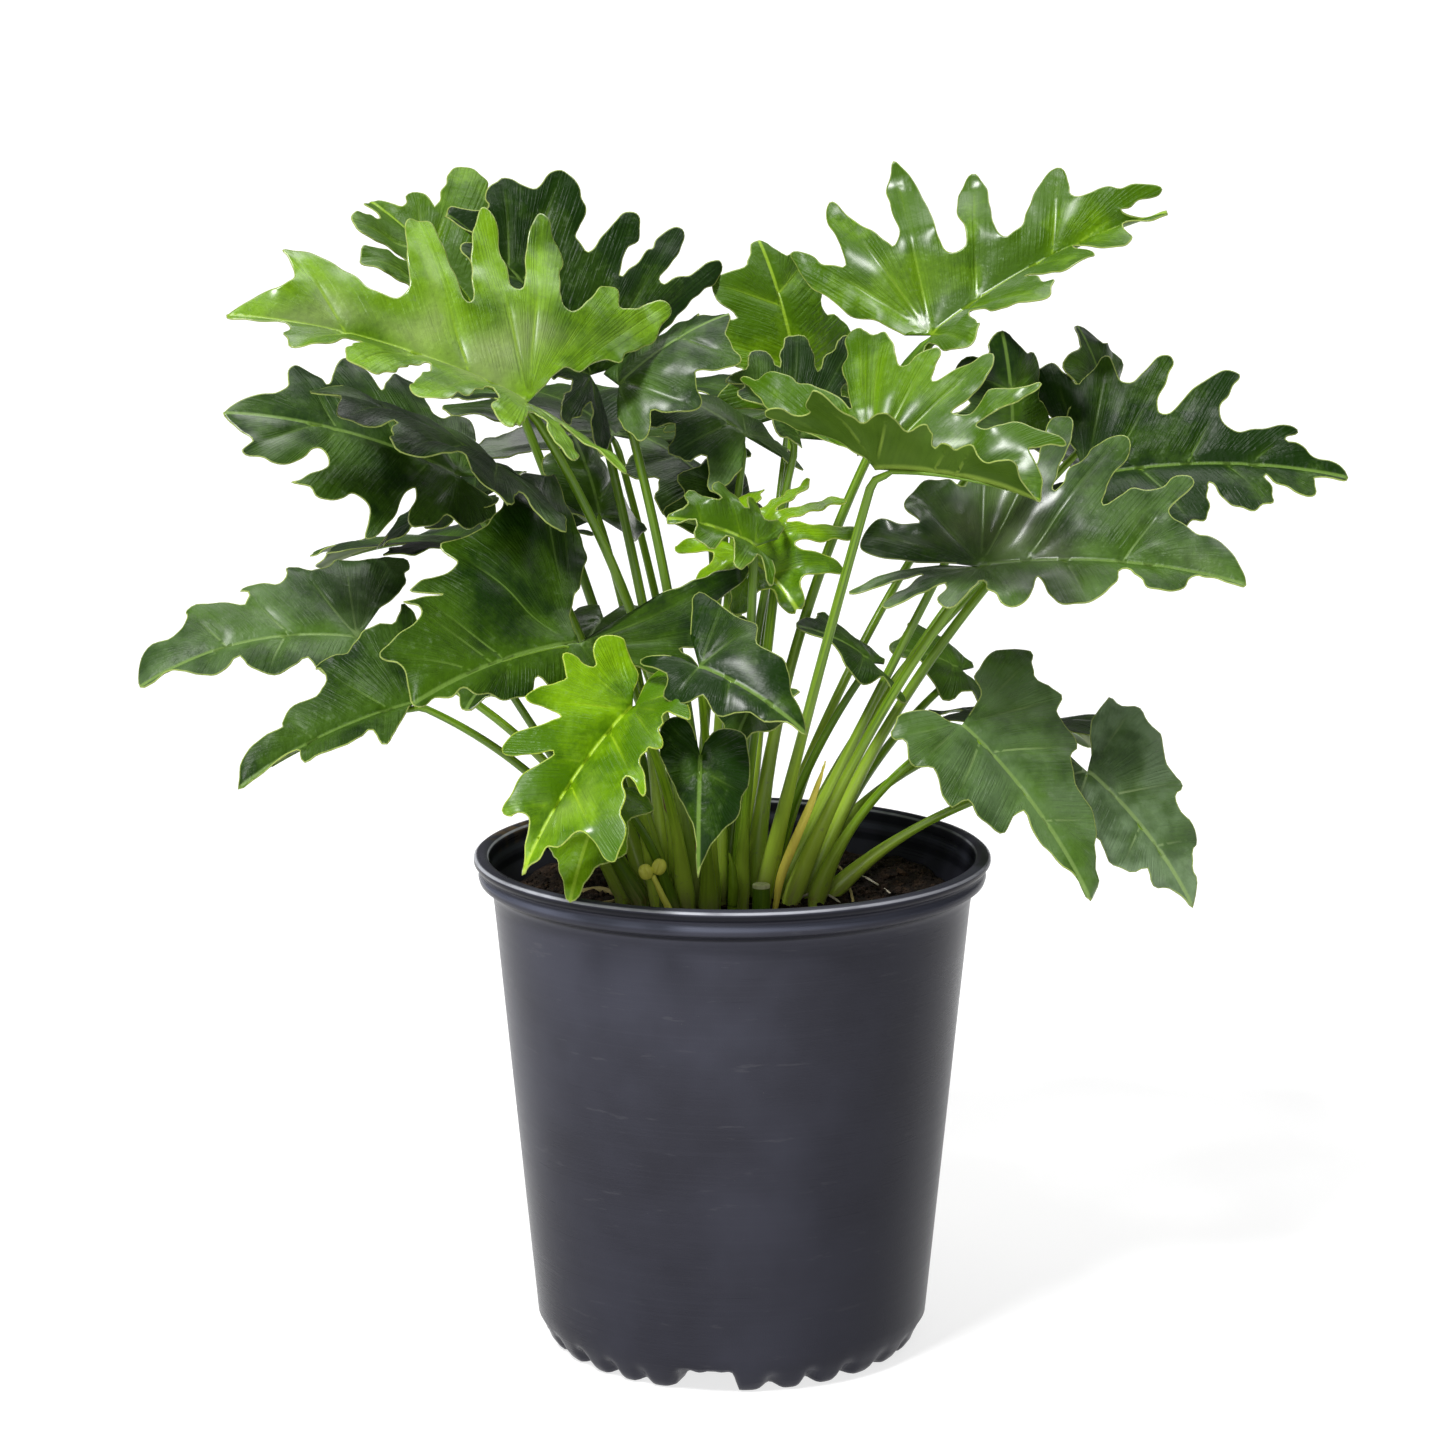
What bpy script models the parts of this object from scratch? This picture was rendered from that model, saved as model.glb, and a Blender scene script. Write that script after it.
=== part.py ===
"""Potted lacy tree philodendron: grower's pot, soil and one closed solid for each leaf with its stalk.

Metres, Z up. The origin is the centre of the pot's underside on the floor, and the photo looks along +Y.
"""
import math
import random

import bmesh
import bpy
from mathutils import Vector

MM = 0.001

# Pot: a 10 inch grower's pot
POT_HEIGHT = 0.247
RIM_RADIUS = 0.127
BODY_TOP_RADIUS = 0.117
BODY_FOOT_RADIUS = 0.0955
FOOT_RADIUS = 0.0885
WALL = 0.002
POT_STEPS = 40
NOTCHES = 8
NOTCH_LIFT = 0.009
NOTCH_START = math.radians(-98)
NOTCH_EDGE = 0.15
NOTCH_SIDE = 0.35
NOTCH_PART = 0.8
FLOOR_LIFT = 0.006
PAD_RADIUS = 0.040

# Soil and its stem holes
SOIL_TOP = 0.2225
SOIL_GAP = 0.0003
SOIL_SWELL = 0.003
SOIL_WAVE = 0.030
SOIL_STEPS = 20
STEM_SINK = 0.016
HOLE_GAP = 0.00035
HOLE_CUT = 0.050
HOLE_SIDES = 6

# Stalks
CROWN_CENTRE = (-0.006, -0.006)
CROWN_SPREAD = 0.046
CROWN_SPACING = 0.0126
STALK_FOOT = 0.0052
STALK_TOP = 0.0026
STALK_SIDES = 6
STALK_POINTS = 4
STALK_SWELL = 1.8
STALK_TAPER = 0.0008
STALK_RISE = 0.004
STALK_UNDER = 0.0016
STALK_ASIDE = 0.0002
RIB_PART = 0.22
RIB_RADIUS = 0.0012
BUD_RADIUS = 0.0036

# Blades
BLADE = 0.0009
VEIN_SLANT = math.radians(62)
MID_ROW = 0.55
MID_WAVE = 0.3
ROOT_STEP = 0.86
SIDE_CHANCE = 0.7
TIP_ROOT = 0.72
TIP_CUT = 0.6
SHOULDER_AHEAD = 0.58
SHOULDER_OUT = 0.66
REAR_TURN = 20.0
REAR_LIMIT = 172.0
REAR_END = 0.52
REAR_SWELL = 1.12
WAVE = {"sinus": 1.0, "side": 0.2, "vein": -0.6, "end": 0.3, "tip": 0.0}


def fan(count, length, rear=125.0, shrink=0.34):
    """Lobes of a half blade by rule, tip to rear: angle from the midrib in degrees and reach in mm."""
    lobes = []
    for k in range(count):
        part = (k + 0.6) / (count - 0.4)
        lobes.append((12 + (rear - 12) * part, length * (0.95 - shrink * part ** 0.8)))
    return tuple(lobes)


def card(name, junction, tip, lean, left, right, cut=0.42, arch=0.05, curl=0.12, ruffle=2.5, bow=0.3,
         tone="leaf_dark", fine=True, push=0):
    """One leaf: places and reaches in mm, angles in degrees; lean lifts the left and right half blades.
    A leaf that is not fine has plainer lobes; push moves a blade back to clear its neighbours."""
    return dict(name=name, junction=(junction[0], junction[1] + push, junction[2]),
                tip=(tip[0], tip[1] + push, tip[2]), lean=lean, left=left, right=right, cut=cut,
                arch=arch, curl=curl, ruffle=ruffle, bow=bow, tone=tone, fine=fine, push=push)


LEAVES = (
    card("leaf_01_upper_left", (-96, -30, 474), (-234, -50, 517), (-8, 55),
         ((16, 118), (33, 104), (52, 90), (78, 78), (108, 64), (146, 60)),
         ((17, 134), (47, 106), (66, 104), (83, 102), (111, 80), (129, 94)), cut=0.56, tone="leaf_bright", bow=0.85, push=-18),
    card("leaf_02_upper_left_back", (-121, 80, 494), (-181, 110, 556), (10, 40),
         ((33, 88), (55, 86), (90, 70)), ((14, 84), (32, 96), (60, 84), (95, 66)), cut=0.5, tone="leaf_bright"),
    card("leaf_03_upper_middle_back", (-69, 45, 476), (-140, 60, 553), (0, 55),
         fan(5, 100), ((19, 108), (34, 105), (57, 90), (73, 92), (91, 92)), cut=0.5, bow=0.35, push=2),
    card("leaf_04_upper_middle_low", (-55, 5, 476), (-2, 20, 509), (3, -36),
         ((27, 58), (70, 44)), ((29, 60), (60, 44), (105, 36)), cut=0.3, bow=0.65),
    card("leaf_05_left", (-134, -5, 429), (-244, -40, 464), (-45, 40),
         ((12, 102), (28, 86), (50, 72), (84, 58), (118, 50)),
         ((31, 96), (43, 78), (65, 60), (100, 44), (134, 30)), cut=0.38, push=34),
    card("leaf_06_left_above", (-112, -35, 442), (-199, -45, 478), (-4, -4),
         ((22, 84), (50, 74), (88, 62), (132, 56)), ((26, 84), (56, 76), (92, 66), (150, 72)), cut=0.35, fine=False, bow=0.4, push=8),
    card("leaf_07_left_behind", (-128, 60, 412), (-178, 75, 386), (0, 20), fan(3, 60), fan(3, 60), cut=0.3,
         fine=False),
    card("leaf_08_far_left", (-185, 30, 348), (-290, 10, 327), (-20, 40),
         ((10, 80), (28, 54), (66, 38), (120, 34)),
         ((26, 88), (43, 67), (68, 57), (96, 52), (127, 57)), cut=0.3, arch=0.09, bow=0.55, fine=False),
    card("leaf_09_low_left", (-153, -20, 325), (-235, -60, 291), (-10, 45),
         ((8, 68), (31, 44), (76, 34), (122, 32)), ((18, 66), (53, 54), (92, 48), (115, 54)), cut=0.28, bow=0.5, fine=False),
    card("leaf_10_centre_left", (-72, -60, 365), (-146, -115, 346), (-60, 55),
         ((20, 52), (50, 30), (100, 24), (142, 52), (162, 84), (180, 92)),
         ((15, 100), (35, 86), (58, 82), (96, 88), (112, 88)), cut=0.34, bow=0.45, push=-17),
    card("leaf_11_centre_behind", (-65, 15, 406), (-79, 30, 446), (-20, -20),
         ((30, 40), (80, 34)), ((30, 44), (54, 50), (92, 56)), cut=0.25, fine=False, bow=0.75, push=28),
    card("leaf_12_lime_front", (-47, -95, 339), (-97, -130, 267), (-10, 60),
         ((32, 84), (48, 58), (66, 40), (94, 39), (130, 40)),
         ((15, 80), (36, 66), (60, 52), (93, 42), (120, 38)), cut=0.5, tone="leaf_lime", bow=0.65, push=-7),
    card("leaf_13_small_front", (-59, -90, 292), (-76, -135, 247), (0, 0),
         ((20, 38), (78, 26)), ((30, 44), (78, 28)), cut=0.2, fine=False, bow=0.7, push=28),
    card("leaf_14_uncut_front", (-15, -85, 316), (-16, -105, 263), (0, 0),
         ((33, 35), (63, 30), (108, 26), (150, 24)), ((25, 34), (68, 28), (110, 26), (152, 24)),
         cut=0.08, fine=False, bow=0.45, push=-21),
    card("leaf_15_glossy_centre", (-15, -75, 359), (34, -100, 332), (45, -45),
         ((30, 43), (66, 36), (110, 36), (132, 38)), ((8, 46), (34, 30), (90, 22), (166, 28)),
         cut=0.25, fine=False, bow=0.8, push=-33),
    card("leaf_16_under_glossy", (13, -58, 337), (-1, -85, 312), (0, 0), ((47, 28), (96, 20)), ((43, 23), (88, 20)),
         cut=0.2, fine=False, bow=0.45, push=2),
    card("leaf_17_lime_young", (6, -30, 396), (31, -55, 373), (45, -45),
         ((40, 46), (62, 54), (84, 56), (106, 54), (132, 46)), ((50, 32), (100, 30), (150, 36)),
         cut=0.55, ruffle=4.0, tone="leaf_lime", bow=0.4, push=22),
    card("leaf_18_behind_young", (-2, 30, 399), (-11, 45, 435), (-20, -20),
         ((27, 38), (62, 34)), ((38, 44), (68, 40), (104, 34)), cut=0.25, fine=False, bow=0.55, push=3),
    card("leaf_19_upper_right", (98, 20, 496), (214, 40, 554), (58, 0),
         ((6, 134), (27, 108), (50, 90), (72, 98), (97, 91), (118, 86)),
         ((14, 104), (26, 88), (48, 74), (85, 56), (128, 66)), cut=0.56, tone="leaf_bright", bow=0.85, push=27),
    card("leaf_20_backlit", (34, 60, 464), (14, 90, 536), (-10, -10),
         ((28, 68), (54, 58), (92, 44)), ((22, 76), (60, 58), (100, 44)), cut=0.35, tone="leaf_bright", fine=False, bow=0.05, push=27),
    card("leaf_21_right_front", (66, -70, 447), (140, -105, 437), (60, 50),
         ((19, 90), (40, 87), (60, 78), (80, 70), (105, 72), (158, 82)),
         ((22, 60), (45, 44), (72, 44), (118, 52), (150, 56)), cut=0.5, tone="leaf_bright", bow=0.1, push=-12),
    card("leaf_22_middle_dark", (33, 0, 448), (-3, 0, 476), (0, 60),
         ((35, 44), (75, 46)), ((28, 48), (55, 52), (85, 64), (120, 48)), cut=0.4, fine=False, bow=0.6, push=25),
    card("leaf_23_far_right", (173, 30, 428), (300, 20, 429), (60, -30),
         ((13, 106), (36, 95), (57, 80), (79, 72), (105, 66), (124, 58)),
         ((8, 112), (19, 92), (42, 68), (82, 52), (125, 46)), cut=0.46, bow=0.4, push=-1),
    card("leaf_24_right_low_front", (118, -40, 395), (241, -65, 390), (55, -20),
         ((30, 110), (49, 98), (68, 90), (95, 72), (130, 62), (156, 66)),
         ((8, 98), (28, 62), (60, 40), (108, 38), (146, 50), (172, 62)), cut=0.5),
    card("leaf_25_right_upright", (136, 15, 449), (131, 25, 500), (-20, -20),
         ((35, 44), (80, 36)), ((35, 46), (80, 38)), cut=0.35, fine=False, bow=0.05, push=-3),
    card("leaf_26_right_under", (176, 55, 408), (229, 60, 393), (10, 0), fan(3, 54), fan(3, 54), cut=0.3,
         fine=False, bow=0.55, push=28),
    card("leaf_27_low_right", (111, -30, 316), (172, -55, 235), (40, -40),
         ((27, 78), (50, 64), (74, 58), (102, 57), (120, 50)), ((10, 84), (24, 62), (50, 50), (85, 43), (118, 42)),
         cut=0.24, bow=0.55, fine=False),
    card("leaf_28_far_low_right", (174, -5, 288), (225, -20, 223), (55, -55),
         ((18, 66), (43, 53), (67, 46), (104, 46), (128, 44)), ((8, 68), (24, 52), (62, 36), (116, 38), (166, 54)),
         cut=0.22, bow=0.35, fine=False),
    card("leaf_29_small_right", (68, 25, 342), (31, 5, 363), (0, 0), fan(2, 44), fan(2, 44), cut=0.2,
         fine=False, bow=0.45, push=-28),
    card("leaf_30_small_olive", (116, 50, 323), (79, 30, 337), (0, 0), fan(2, 44), fan(2, 44), cut=0.15,
         fine=False, bow=0.45, push=28),
    card("leaf_31_middle_grey", (7, 20, 449), (-39, 30, 471), (-40, 0),
         ((25, 50), (50, 40), (92, 36)), ((30, 50), (70, 44), (107, 54), (136, 42)), cut=0.3, fine=False, bow=0.7, push=6),
    card("leaf_32_middle_behind", (-11, 50, 420), (-47, 65, 443), (-20, -10), fan(3, 52), fan(3, 52), cut=0.3,
         fine=False, bow=0.45, push=12),
    card("leaf_33_right_behind", (189, 75, 449), (173, 85, 496), (0, 0), fan(3, 50), fan(3, 50), cut=0.35,
         fine=False, bow=0.35, push=1),
    card("leaf_34_low_behind", (-63, -10, 362), (-75, -35, 342), (0, 0), fan(2, 36), fan(2, 36), cut=0.2,
         fine=False, bow=0.75, push=18),
    card("leaf_35_low_left_small", (-113, -30, 341), (-127, -55, 327), (0, 0), fan(2, 32), fan(2, 32),
         cut=0.2, fine=False, bow=0.05, push=5),
    card("leaf_36_back_left", (-60, 130, 436), (-118, 235, 446), (5, 5), fan(4, 115), fan(4, 115), fine=False),
    card("leaf_37_back_middle", (30, 140, 446), (62, 255, 450), (5, 5), fan(4, 112), fan(4, 112), fine=False),
    card("leaf_38_back_right", (132, 120, 429), (224, 205, 424), (5, 5), fan(4, 112), fan(4, 112), fine=False, bow=0.4, push=13),
    card("leaf_39_back_far_left", (-130, 105, 385), (-215, 175, 360), (5, 5), fan(4, 100), fan(4, 100), bow=0.5,
         fine=False),
    card("leaf_40_back_low", (-50, 140, 325), (-85, 225, 290), (5, 5), fan(3, 84), fan(3, 84), cut=0.3, bow=0.55,
         fine=False),
    card("leaf_41_back_low_right", (153, 90, 292), (193, 185, 262), (5, 5), fan(3, 84), fan(3, 84),
         cut=0.3, fine=False, bow=0.6, push=-4),
    card("leaf_42_young_second", (11, -12, 405), (-31, -20, 419), (-30, 50),
         ((30, 32), (70, 24), (120, 22)), ((24, 40), (52, 36), (84, 30), (120, 28)), cut=0.5, ruffle=3.5,
         fine=False, tone="leaf_lime", bow=0.1, push=-28),
)

# Small stems, lowest point first: name, material and (place in mm, radius in mm)
SMALL_STEMS = (
    ("dry_sheath", "dry_sheath", (((21, -27, 226), 2.2), ((26, -27, 246), 2.6), ((34, -27, 268), 2.0),
                                  ((43, -27, 291), 0.7))),
    ("cut_stub", "leaf_dark", (((14, -38, 226), 4.4), ((14, -38, 238), 4.2))),
    ("young_shoot", "leaf_lime", (((0, -36, 226), 2.4), ((0, -36, 236), 2.0), ((-1, -36, 248), 0.8))),
    ("bud_stalk", "dry_sheath", (((-29, -54, 226), 1.8), ((-34, -54, 238), 1.5), ((-38, -54, 247), 1.2))),
)


def new_material(name, colour, roughness):
    """A plain Principled BSDF."""
    material = bpy.data.materials.new(name)
    material.use_nodes = True
    shader = material.node_tree.nodes["Principled BSDF"]
    shader.inputs["Base Color"].default_value = (*colour, 1.0)
    shader.inputs["Roughness"].default_value = roughness
    shader.inputs["Metallic"].default_value = 0.0
    material.diffuse_color = (*colour, 1.0)
    return material


def new_object(name, mesh, collection, material, smooth=False):
    """Links a mesh under its name, with its material and shading."""
    obj = bpy.data.objects.new(name, mesh)
    collection.objects.link(obj)
    mesh.materials.clear()
    mesh.materials.append(material)
    for face in mesh.polygons:
        face.use_smooth = smooth
        face.material_index = 0
    return obj


def move_to(obj, collection):
    """Takes a new primitive out of the collection it landed in and puts it into another."""
    for holder in obj.users_collection:
        holder.objects.unlink(obj)
    collection.objects.link(obj)


def apply_modifiers(obj):
    """Turns the object's modifiers into its mesh."""
    bpy.context.view_layer.update()
    depsgraph = bpy.context.evaluated_depsgraph_get()
    mesh = bpy.data.meshes.new_from_object(obj.evaluated_get(depsgraph))
    obj.modifiers.clear()
    old = obj.data
    obj.data = mesh
    bpy.data.meshes.remove(old)


def boolean(obj, other, operation):
    """Joins or cuts with another object or a whole collection, then removes what it used."""
    modifier = obj.modifiers.new(operation.title(), "BOOLEAN")
    modifier.operation = operation
    modifier.solver = "MANIFOLD"
    if isinstance(other, bpy.types.Collection):
        modifier.operand_type = "COLLECTION"
        modifier.collection = other
        used = list(other.objects)
    else:
        modifier.object = other
        used = [other]
    apply_modifiers(obj)
    for item in used:
        bpy.data.objects.remove(item)


def lathe(name, outline, steps, collection, material):
    """Turns an outline of (radius, height) points round Z with a Screw modifier."""
    mesh = bpy.data.meshes.new(name)
    points = [(radius, 0.0, height) for radius, height in outline]
    mesh.from_pydata(points, [(k, k + 1) for k in range(len(points) - 1)], [])
    obj = new_object(name, mesh, collection, material)
    screw = obj.modifiers.new("Screw", "SCREW")
    screw.steps = steps
    screw.render_steps = steps
    screw.use_merge_vertices = True
    screw.merge_threshold = 0.00001
    screw.use_smooth_shade = True
    apply_modifiers(obj)
    return obj


def body_radius(height):
    """Outer radius of the pot's plain wall at a height."""
    return BODY_FOOT_RADIUS + (BODY_TOP_RADIUS - BODY_FOOT_RADIUS) * height / (POT_HEIGHT - 0.024)


def pot_outline():
    """Section of the pot: the outside from the rim down to the centre, then the inside back up."""
    top = POT_HEIGHT
    outside = [
        (RIM_RADIUS - 0.0055, top),
        (RIM_RADIUS - 0.0015, top - 0.0008),
        (RIM_RADIUS, top - 0.0045),
        (RIM_RADIUS - 0.0028, top - 0.0075),
        (RIM_RADIUS - 0.0050, top - 0.0092),
        (RIM_RADIUS - 0.0033, top - 0.0125),
        (RIM_RADIUS - 0.0044, top - 0.0157),
        (RIM_RADIUS - 0.0084, top - 0.0176),
        (body_radius(top - 0.024), top - 0.024),
        (body_radius(0.016), 0.016),
        (BODY_FOOT_RADIUS - 0.0026, 0.0055),
        (FOOT_RADIUS, 0.0),
        (FOOT_RADIUS - 0.010, 0.0),
        (FOOT_RADIUS - 0.016, FLOOR_LIFT),
        (PAD_RADIUS + 0.008, FLOOR_LIFT),
        (PAD_RADIUS, 0.0),
        (0.0, 0.0),
    ]
    inside = [
        (0.0, WALL),
        (PAD_RADIUS - 0.001, WALL),
        (PAD_RADIUS + 0.007, FLOOR_LIFT + WALL),
        (FOOT_RADIUS - 0.015, FLOOR_LIFT + WALL),
        (FOOT_RADIUS - 0.0035, NOTCH_LIFT + WALL),
        (BODY_FOOT_RADIUS - 0.0040, NOTCH_LIFT + 0.005),
        (body_radius(0.020) - WALL, 0.020),
        (body_radius(top - 0.026) - WALL, top - 0.026),
        (RIM_RADIUS - 0.0092, top - 0.0165),
        (RIM_RADIUS - 0.0078, top - 0.0025),
    ]
    return outside + inside + outside[:1]


def make_pot(collection, material):
    """The pot, with its foot lifted into notches by a wave round the edge."""
    pot = lathe("pot", pot_outline(), POT_STEPS, collection, material)
    for vertex in pot.data.vertices:
        radius = math.hypot(vertex.co.x, vertex.co.y)
        if vertex.co.z < NOTCH_LIFT and radius > FOOT_RADIUS - 0.012:
            wave = math.cos(NOTCHES * (math.atan2(vertex.co.y, vertex.co.x) - NOTCH_START))
            lift = min(max((wave - NOTCH_EDGE) / NOTCH_SIDE, 0.0), 1.0)
            vertex.co.z += (NOTCH_LIFT - vertex.co.z) * NOTCH_PART * lift
    return pot


def make_soil(collection, cutters, material, feet):
    """The soil: a filled body with a slightly uneven top and a plain hole for each stem."""
    wall = WALL + SOIL_GAP
    outline = [
        (0.0, SOIL_TOP),
        (0.035, SOIL_TOP),
        (0.070, SOIL_TOP),
        (0.098, SOIL_TOP),
        (body_radius(SOIL_TOP) - wall, SOIL_TOP - 0.001),
        (body_radius(0.0205) - wall, 0.0205),
        (BODY_FOOT_RADIUS - 0.0046, NOTCH_LIFT + 0.0056),
        (FOOT_RADIUS - 0.0040, NOTCH_LIFT + wall + 0.0004),
        (FOOT_RADIUS - 0.0150, FLOOR_LIFT + wall + 0.0004),
        (PAD_RADIUS + 0.0065, FLOOR_LIFT + wall + 0.0004),
        (PAD_RADIUS - 0.0020, wall),
        (0.0, wall),
    ]
    soil = lathe("soil", outline, SOIL_STEPS, collection, material)
    for vertex in soil.data.vertices:
        if vertex.co.z > SOIL_TOP - 0.0005:
            x = vertex.co.x / SOIL_WAVE
            y = vertex.co.y / SOIL_WAVE
            vertex.co.z += SOIL_SWELL * (math.sin(1.3 * x + 0.4) * math.cos(1.1 * y) + math.sin(2.1 * y + x)) / 2
    for number, (x, y, radius) in enumerate(feet):
        bpy.ops.mesh.primitive_cylinder_add(
            vertices=HOLE_SIDES, radius=(radius + HOLE_GAP) / math.cos(math.pi / HOLE_SIDES), depth=HOLE_CUT,
            location=(x, y, SOIL_TOP - STEM_SINK - HOLE_GAP + HOLE_CUT / 2))
        cutter = bpy.context.object
        cutter.name = "stem_hole_%02d" % number
        cutter.display_type = "WIRE"
        move_to(cutter, cutters)
    boolean(soil, cutters, "DIFFERENCE")
    return soil


def spread_feet(wanted, fixed):
    """Moves stem feet apart until none stands nearer to another than the spacing; fixed ones stay."""
    feet = [Vector(spot) for spot in wanted]
    for _ in range(400):
        moved = False
        for i, first in enumerate(feet):
            for j in range(i + 1, len(feet)):
                apart = feet[j] - first
                short = CROWN_SPACING - apart.length
                if short > 0.00002:
                    push = apart.normalized() * (short if i < fixed else short / 2)
                    feet[j] = feet[j] + push
                    if i >= fixed:
                        first -= push
                    moved = True
        if not moved:
            break
    return feet


def blade_frame(leaf):
    """Junction, length, midrib direction, up direction and the two half blades' side directions."""
    junction = Vector(leaf["junction"]) * MM
    along = Vector(leaf["tip"]) * MM - junction
    length = along.length
    along = along / length
    level = Vector((0, 0, 1)).cross(along).normalized()
    up = along.cross(level)
    left, right = (math.radians(angle) for angle in leaf["lean"])
    side_left = level * math.cos(left) + up * math.sin(left)
    side_right = -level * math.cos(right) + up * math.sin(right)
    return junction, length, along, up, side_left, side_right


def flat(angle, reach):
    """A point of a half blade's plane, from an angle in degrees and a reach in mm."""
    return Vector((math.cos(math.radians(angle)), math.sin(math.radians(angle)))) * (reach * MM)


def shoulder(sinus, middle, tip, root):
    """The point where a lobe's side turns in to its tip; middle lies half way to the next lobe's tip."""
    vein = (tip - root).normalized()
    place = sinus + (middle - sinus) * SHOULDER_AHEAD
    foot = root + vein * (place - root).dot(vein)
    return foot + (place - foot) * SHOULDER_OUT


def half_columns(lobes, length, cut):
    """Rays of a half blade from the tip round to the rear: (midrib root, edge point, kind).
    Roots are whole millimetres, so that both half blades meet at shared places on the midrib."""
    tips = [Vector((length, 0.0))] + [flat(*lobe) for lobe in lobes]
    roots = [round(TIP_ROOT * length, 3)]
    for tip in tips[1:]:
        root = tip.x - tip.y / math.tan(VEIN_SLANT)
        roots.append(round(min(max(root, 0.0), roots[-1] * ROOT_STEP), 3))
    columns = [(roots[0], tips[0], "tip")]
    for k in range(len(tips) - 1):
        root = round((roots[k] + roots[k + 1]) / 2, 3)
        base = Vector((root, 0.0))
        middle = (tips[k] + tips[k + 1]) / 2
        depth = cut * (TIP_CUT if k == 0 else 1.0)
        sinus = base + (middle - base) * (1 - depth)
        columns.append((root, shoulder(sinus, middle, tips[k], Vector((roots[k], 0.0))), "side"))
        columns.append((root, sinus, "sinus"))
        columns.append((root, shoulder(sinus, middle, tips[k + 1], Vector((roots[k + 1], 0.0))), "side"))
        columns.append((roots[k + 1], tips[k + 1], "vein"))
    rear, reach = lobes[-1]
    last = flat(min(rear + REAR_TURN, max(REAR_LIMIT, rear + REAR_TURN / 2)), reach * REAR_END)
    columns.append((0.0, (last + tips[-1]) / 2 * REAR_SWELL, "side"))
    columns.append((0.0, last, "end"))
    return columns


def into_space(leaf, frame, point, side, wave):
    """Takes a point of a half blade's plane into space: arched midrib, drooping sides, waved edge."""
    junction, length, along, up, side_left, side_right = frame
    across = side_left if side == "left" else side_right
    normal = along.cross(side_left) if side == "left" else side_right.cross(along)
    part = point.x / length
    arch = 4 * leaf["arch"] * length * (part * (1 - part) if part > 0 else part)
    droop = leaf["curl"] * point.y ** 2 / length
    return junction + along * point.x + across * point.y + up * arch + normal * (wave - droop)


def blade_mesh(leaf, seed):
    """The blade's middle surface in triangles: rays from the midrib through a middle row to the edge."""
    frame = blade_frame(leaf)
    draw = random.Random(seed)
    mesh = bmesh.new()
    known = {}

    def vertex(point, side, wave):
        where = into_space(leaf, frame, point, side, wave)
        key = tuple(round(value, 6) for value in where)
        if key not in known:
            known[key] = mesh.verts.new(where)
        return known[key]

    def triangle(first, second, third, side):
        corners = (first, second, third) if side == "left" else (third, second, first)
        if len(set(corners)) == 3:
            mesh.faces.new(corners)

    halves = {side: half_columns(leaf[side], frame[1], leaf["cut"]) for side in ("left", "right")}
    stops = sorted({root for columns in halves.values() for root, _, _ in columns}, reverse=True)
    for side, columns in halves.items():
        rim, middle, roots = [], [], []
        for root, edge, kind in columns:
            if kind == "side" and not leaf["fine"]:
                continue
            chance = draw.uniform(-SIDE_CHANCE, SIDE_CHANCE) if kind == "side" else 0.0
            wave = leaf["ruffle"] * MM * (WAVE[kind] + chance)
            rim.append(vertex(edge, side, wave))
            if kind != "side":
                base = Vector((root, 0.0))
                roots.append(root)
                if leaf["fine"]:
                    middle.append(vertex(base + (edge - base) * MID_ROW, side, wave * MID_WAVE))
        for k in range(len(roots) - 1):
            chain = [vertex(Vector((stop, 0.0)), side, 0.0) for stop in stops if roots[k + 1] <= stop <= roots[k]]
            if leaf["fine"]:
                outer, between, following = rim[2 * k:2 * k + 3]
                triangle(middle[k], outer, between, side)
                triangle(middle[k], between, middle[k + 1], side)
                triangle(middle[k + 1], between, following, side)
                triangle(chain[0], middle[k], middle[k + 1], side)
                apex = middle[k + 1]
            else:
                triangle(chain[0], rim[k], rim[k + 1], side)
                apex = rim[k + 1]
            for start, end in zip(chain, chain[1:]):
                triangle(start, apex, end, side)
    result = bpy.data.meshes.new(leaf["name"])
    mesh.to_mesh(result)
    mesh.free()
    return result


def stalk_path(leaf, foot):
    """Centre line and radius of a stalk, from its foot in the soil to the rib under the blade."""
    junction, length, along, up, _, _ = blade_frame(leaf)
    aside = along.cross(up) * STALK_ASIDE
    below = junction - up * STALK_UNDER + aside
    start = Vector((foot.x, foot.y, SOIL_TOP + STALK_RISE))
    run = below - start
    straight = run.normalized()
    leave = (straight * (1 - leaf["bow"]) + Vector((0, 0, 1)) * leaf["bow"]).normalized() * run.length
    arrive = (straight * 2 - leave.normalized()).normalized() * run.length
    path = [(Vector((foot.x, foot.y, SOIL_TOP - STEM_SINK)), STALK_FOOT), (start, STALK_FOOT)]
    for k in range(1, STALK_POINTS + 1):
        t = k / STALK_POINTS
        place = (start * (2 * t ** 3 - 3 * t ** 2 + 1) + leave * (t ** 3 - 2 * t ** 2 + t)
                 + below * (3 * t ** 2 - 2 * t ** 3) + arrive * (t ** 3 - t ** 2))
        swell = max(1 - t * STALK_SWELL, 0) ** 1.5
        path.append((place, STALK_TOP + (STALK_FOOT - STALK_TOP) * swell + STALK_TAPER * (1 - t)))
    rib_end = junction + along * length * RIB_PART - up * BLADE + aside
    path.append((rib_end + up * 4 * leaf["arch"] * length * RIB_PART * (1 - RIB_PART), RIB_RADIUS))
    return path


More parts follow.
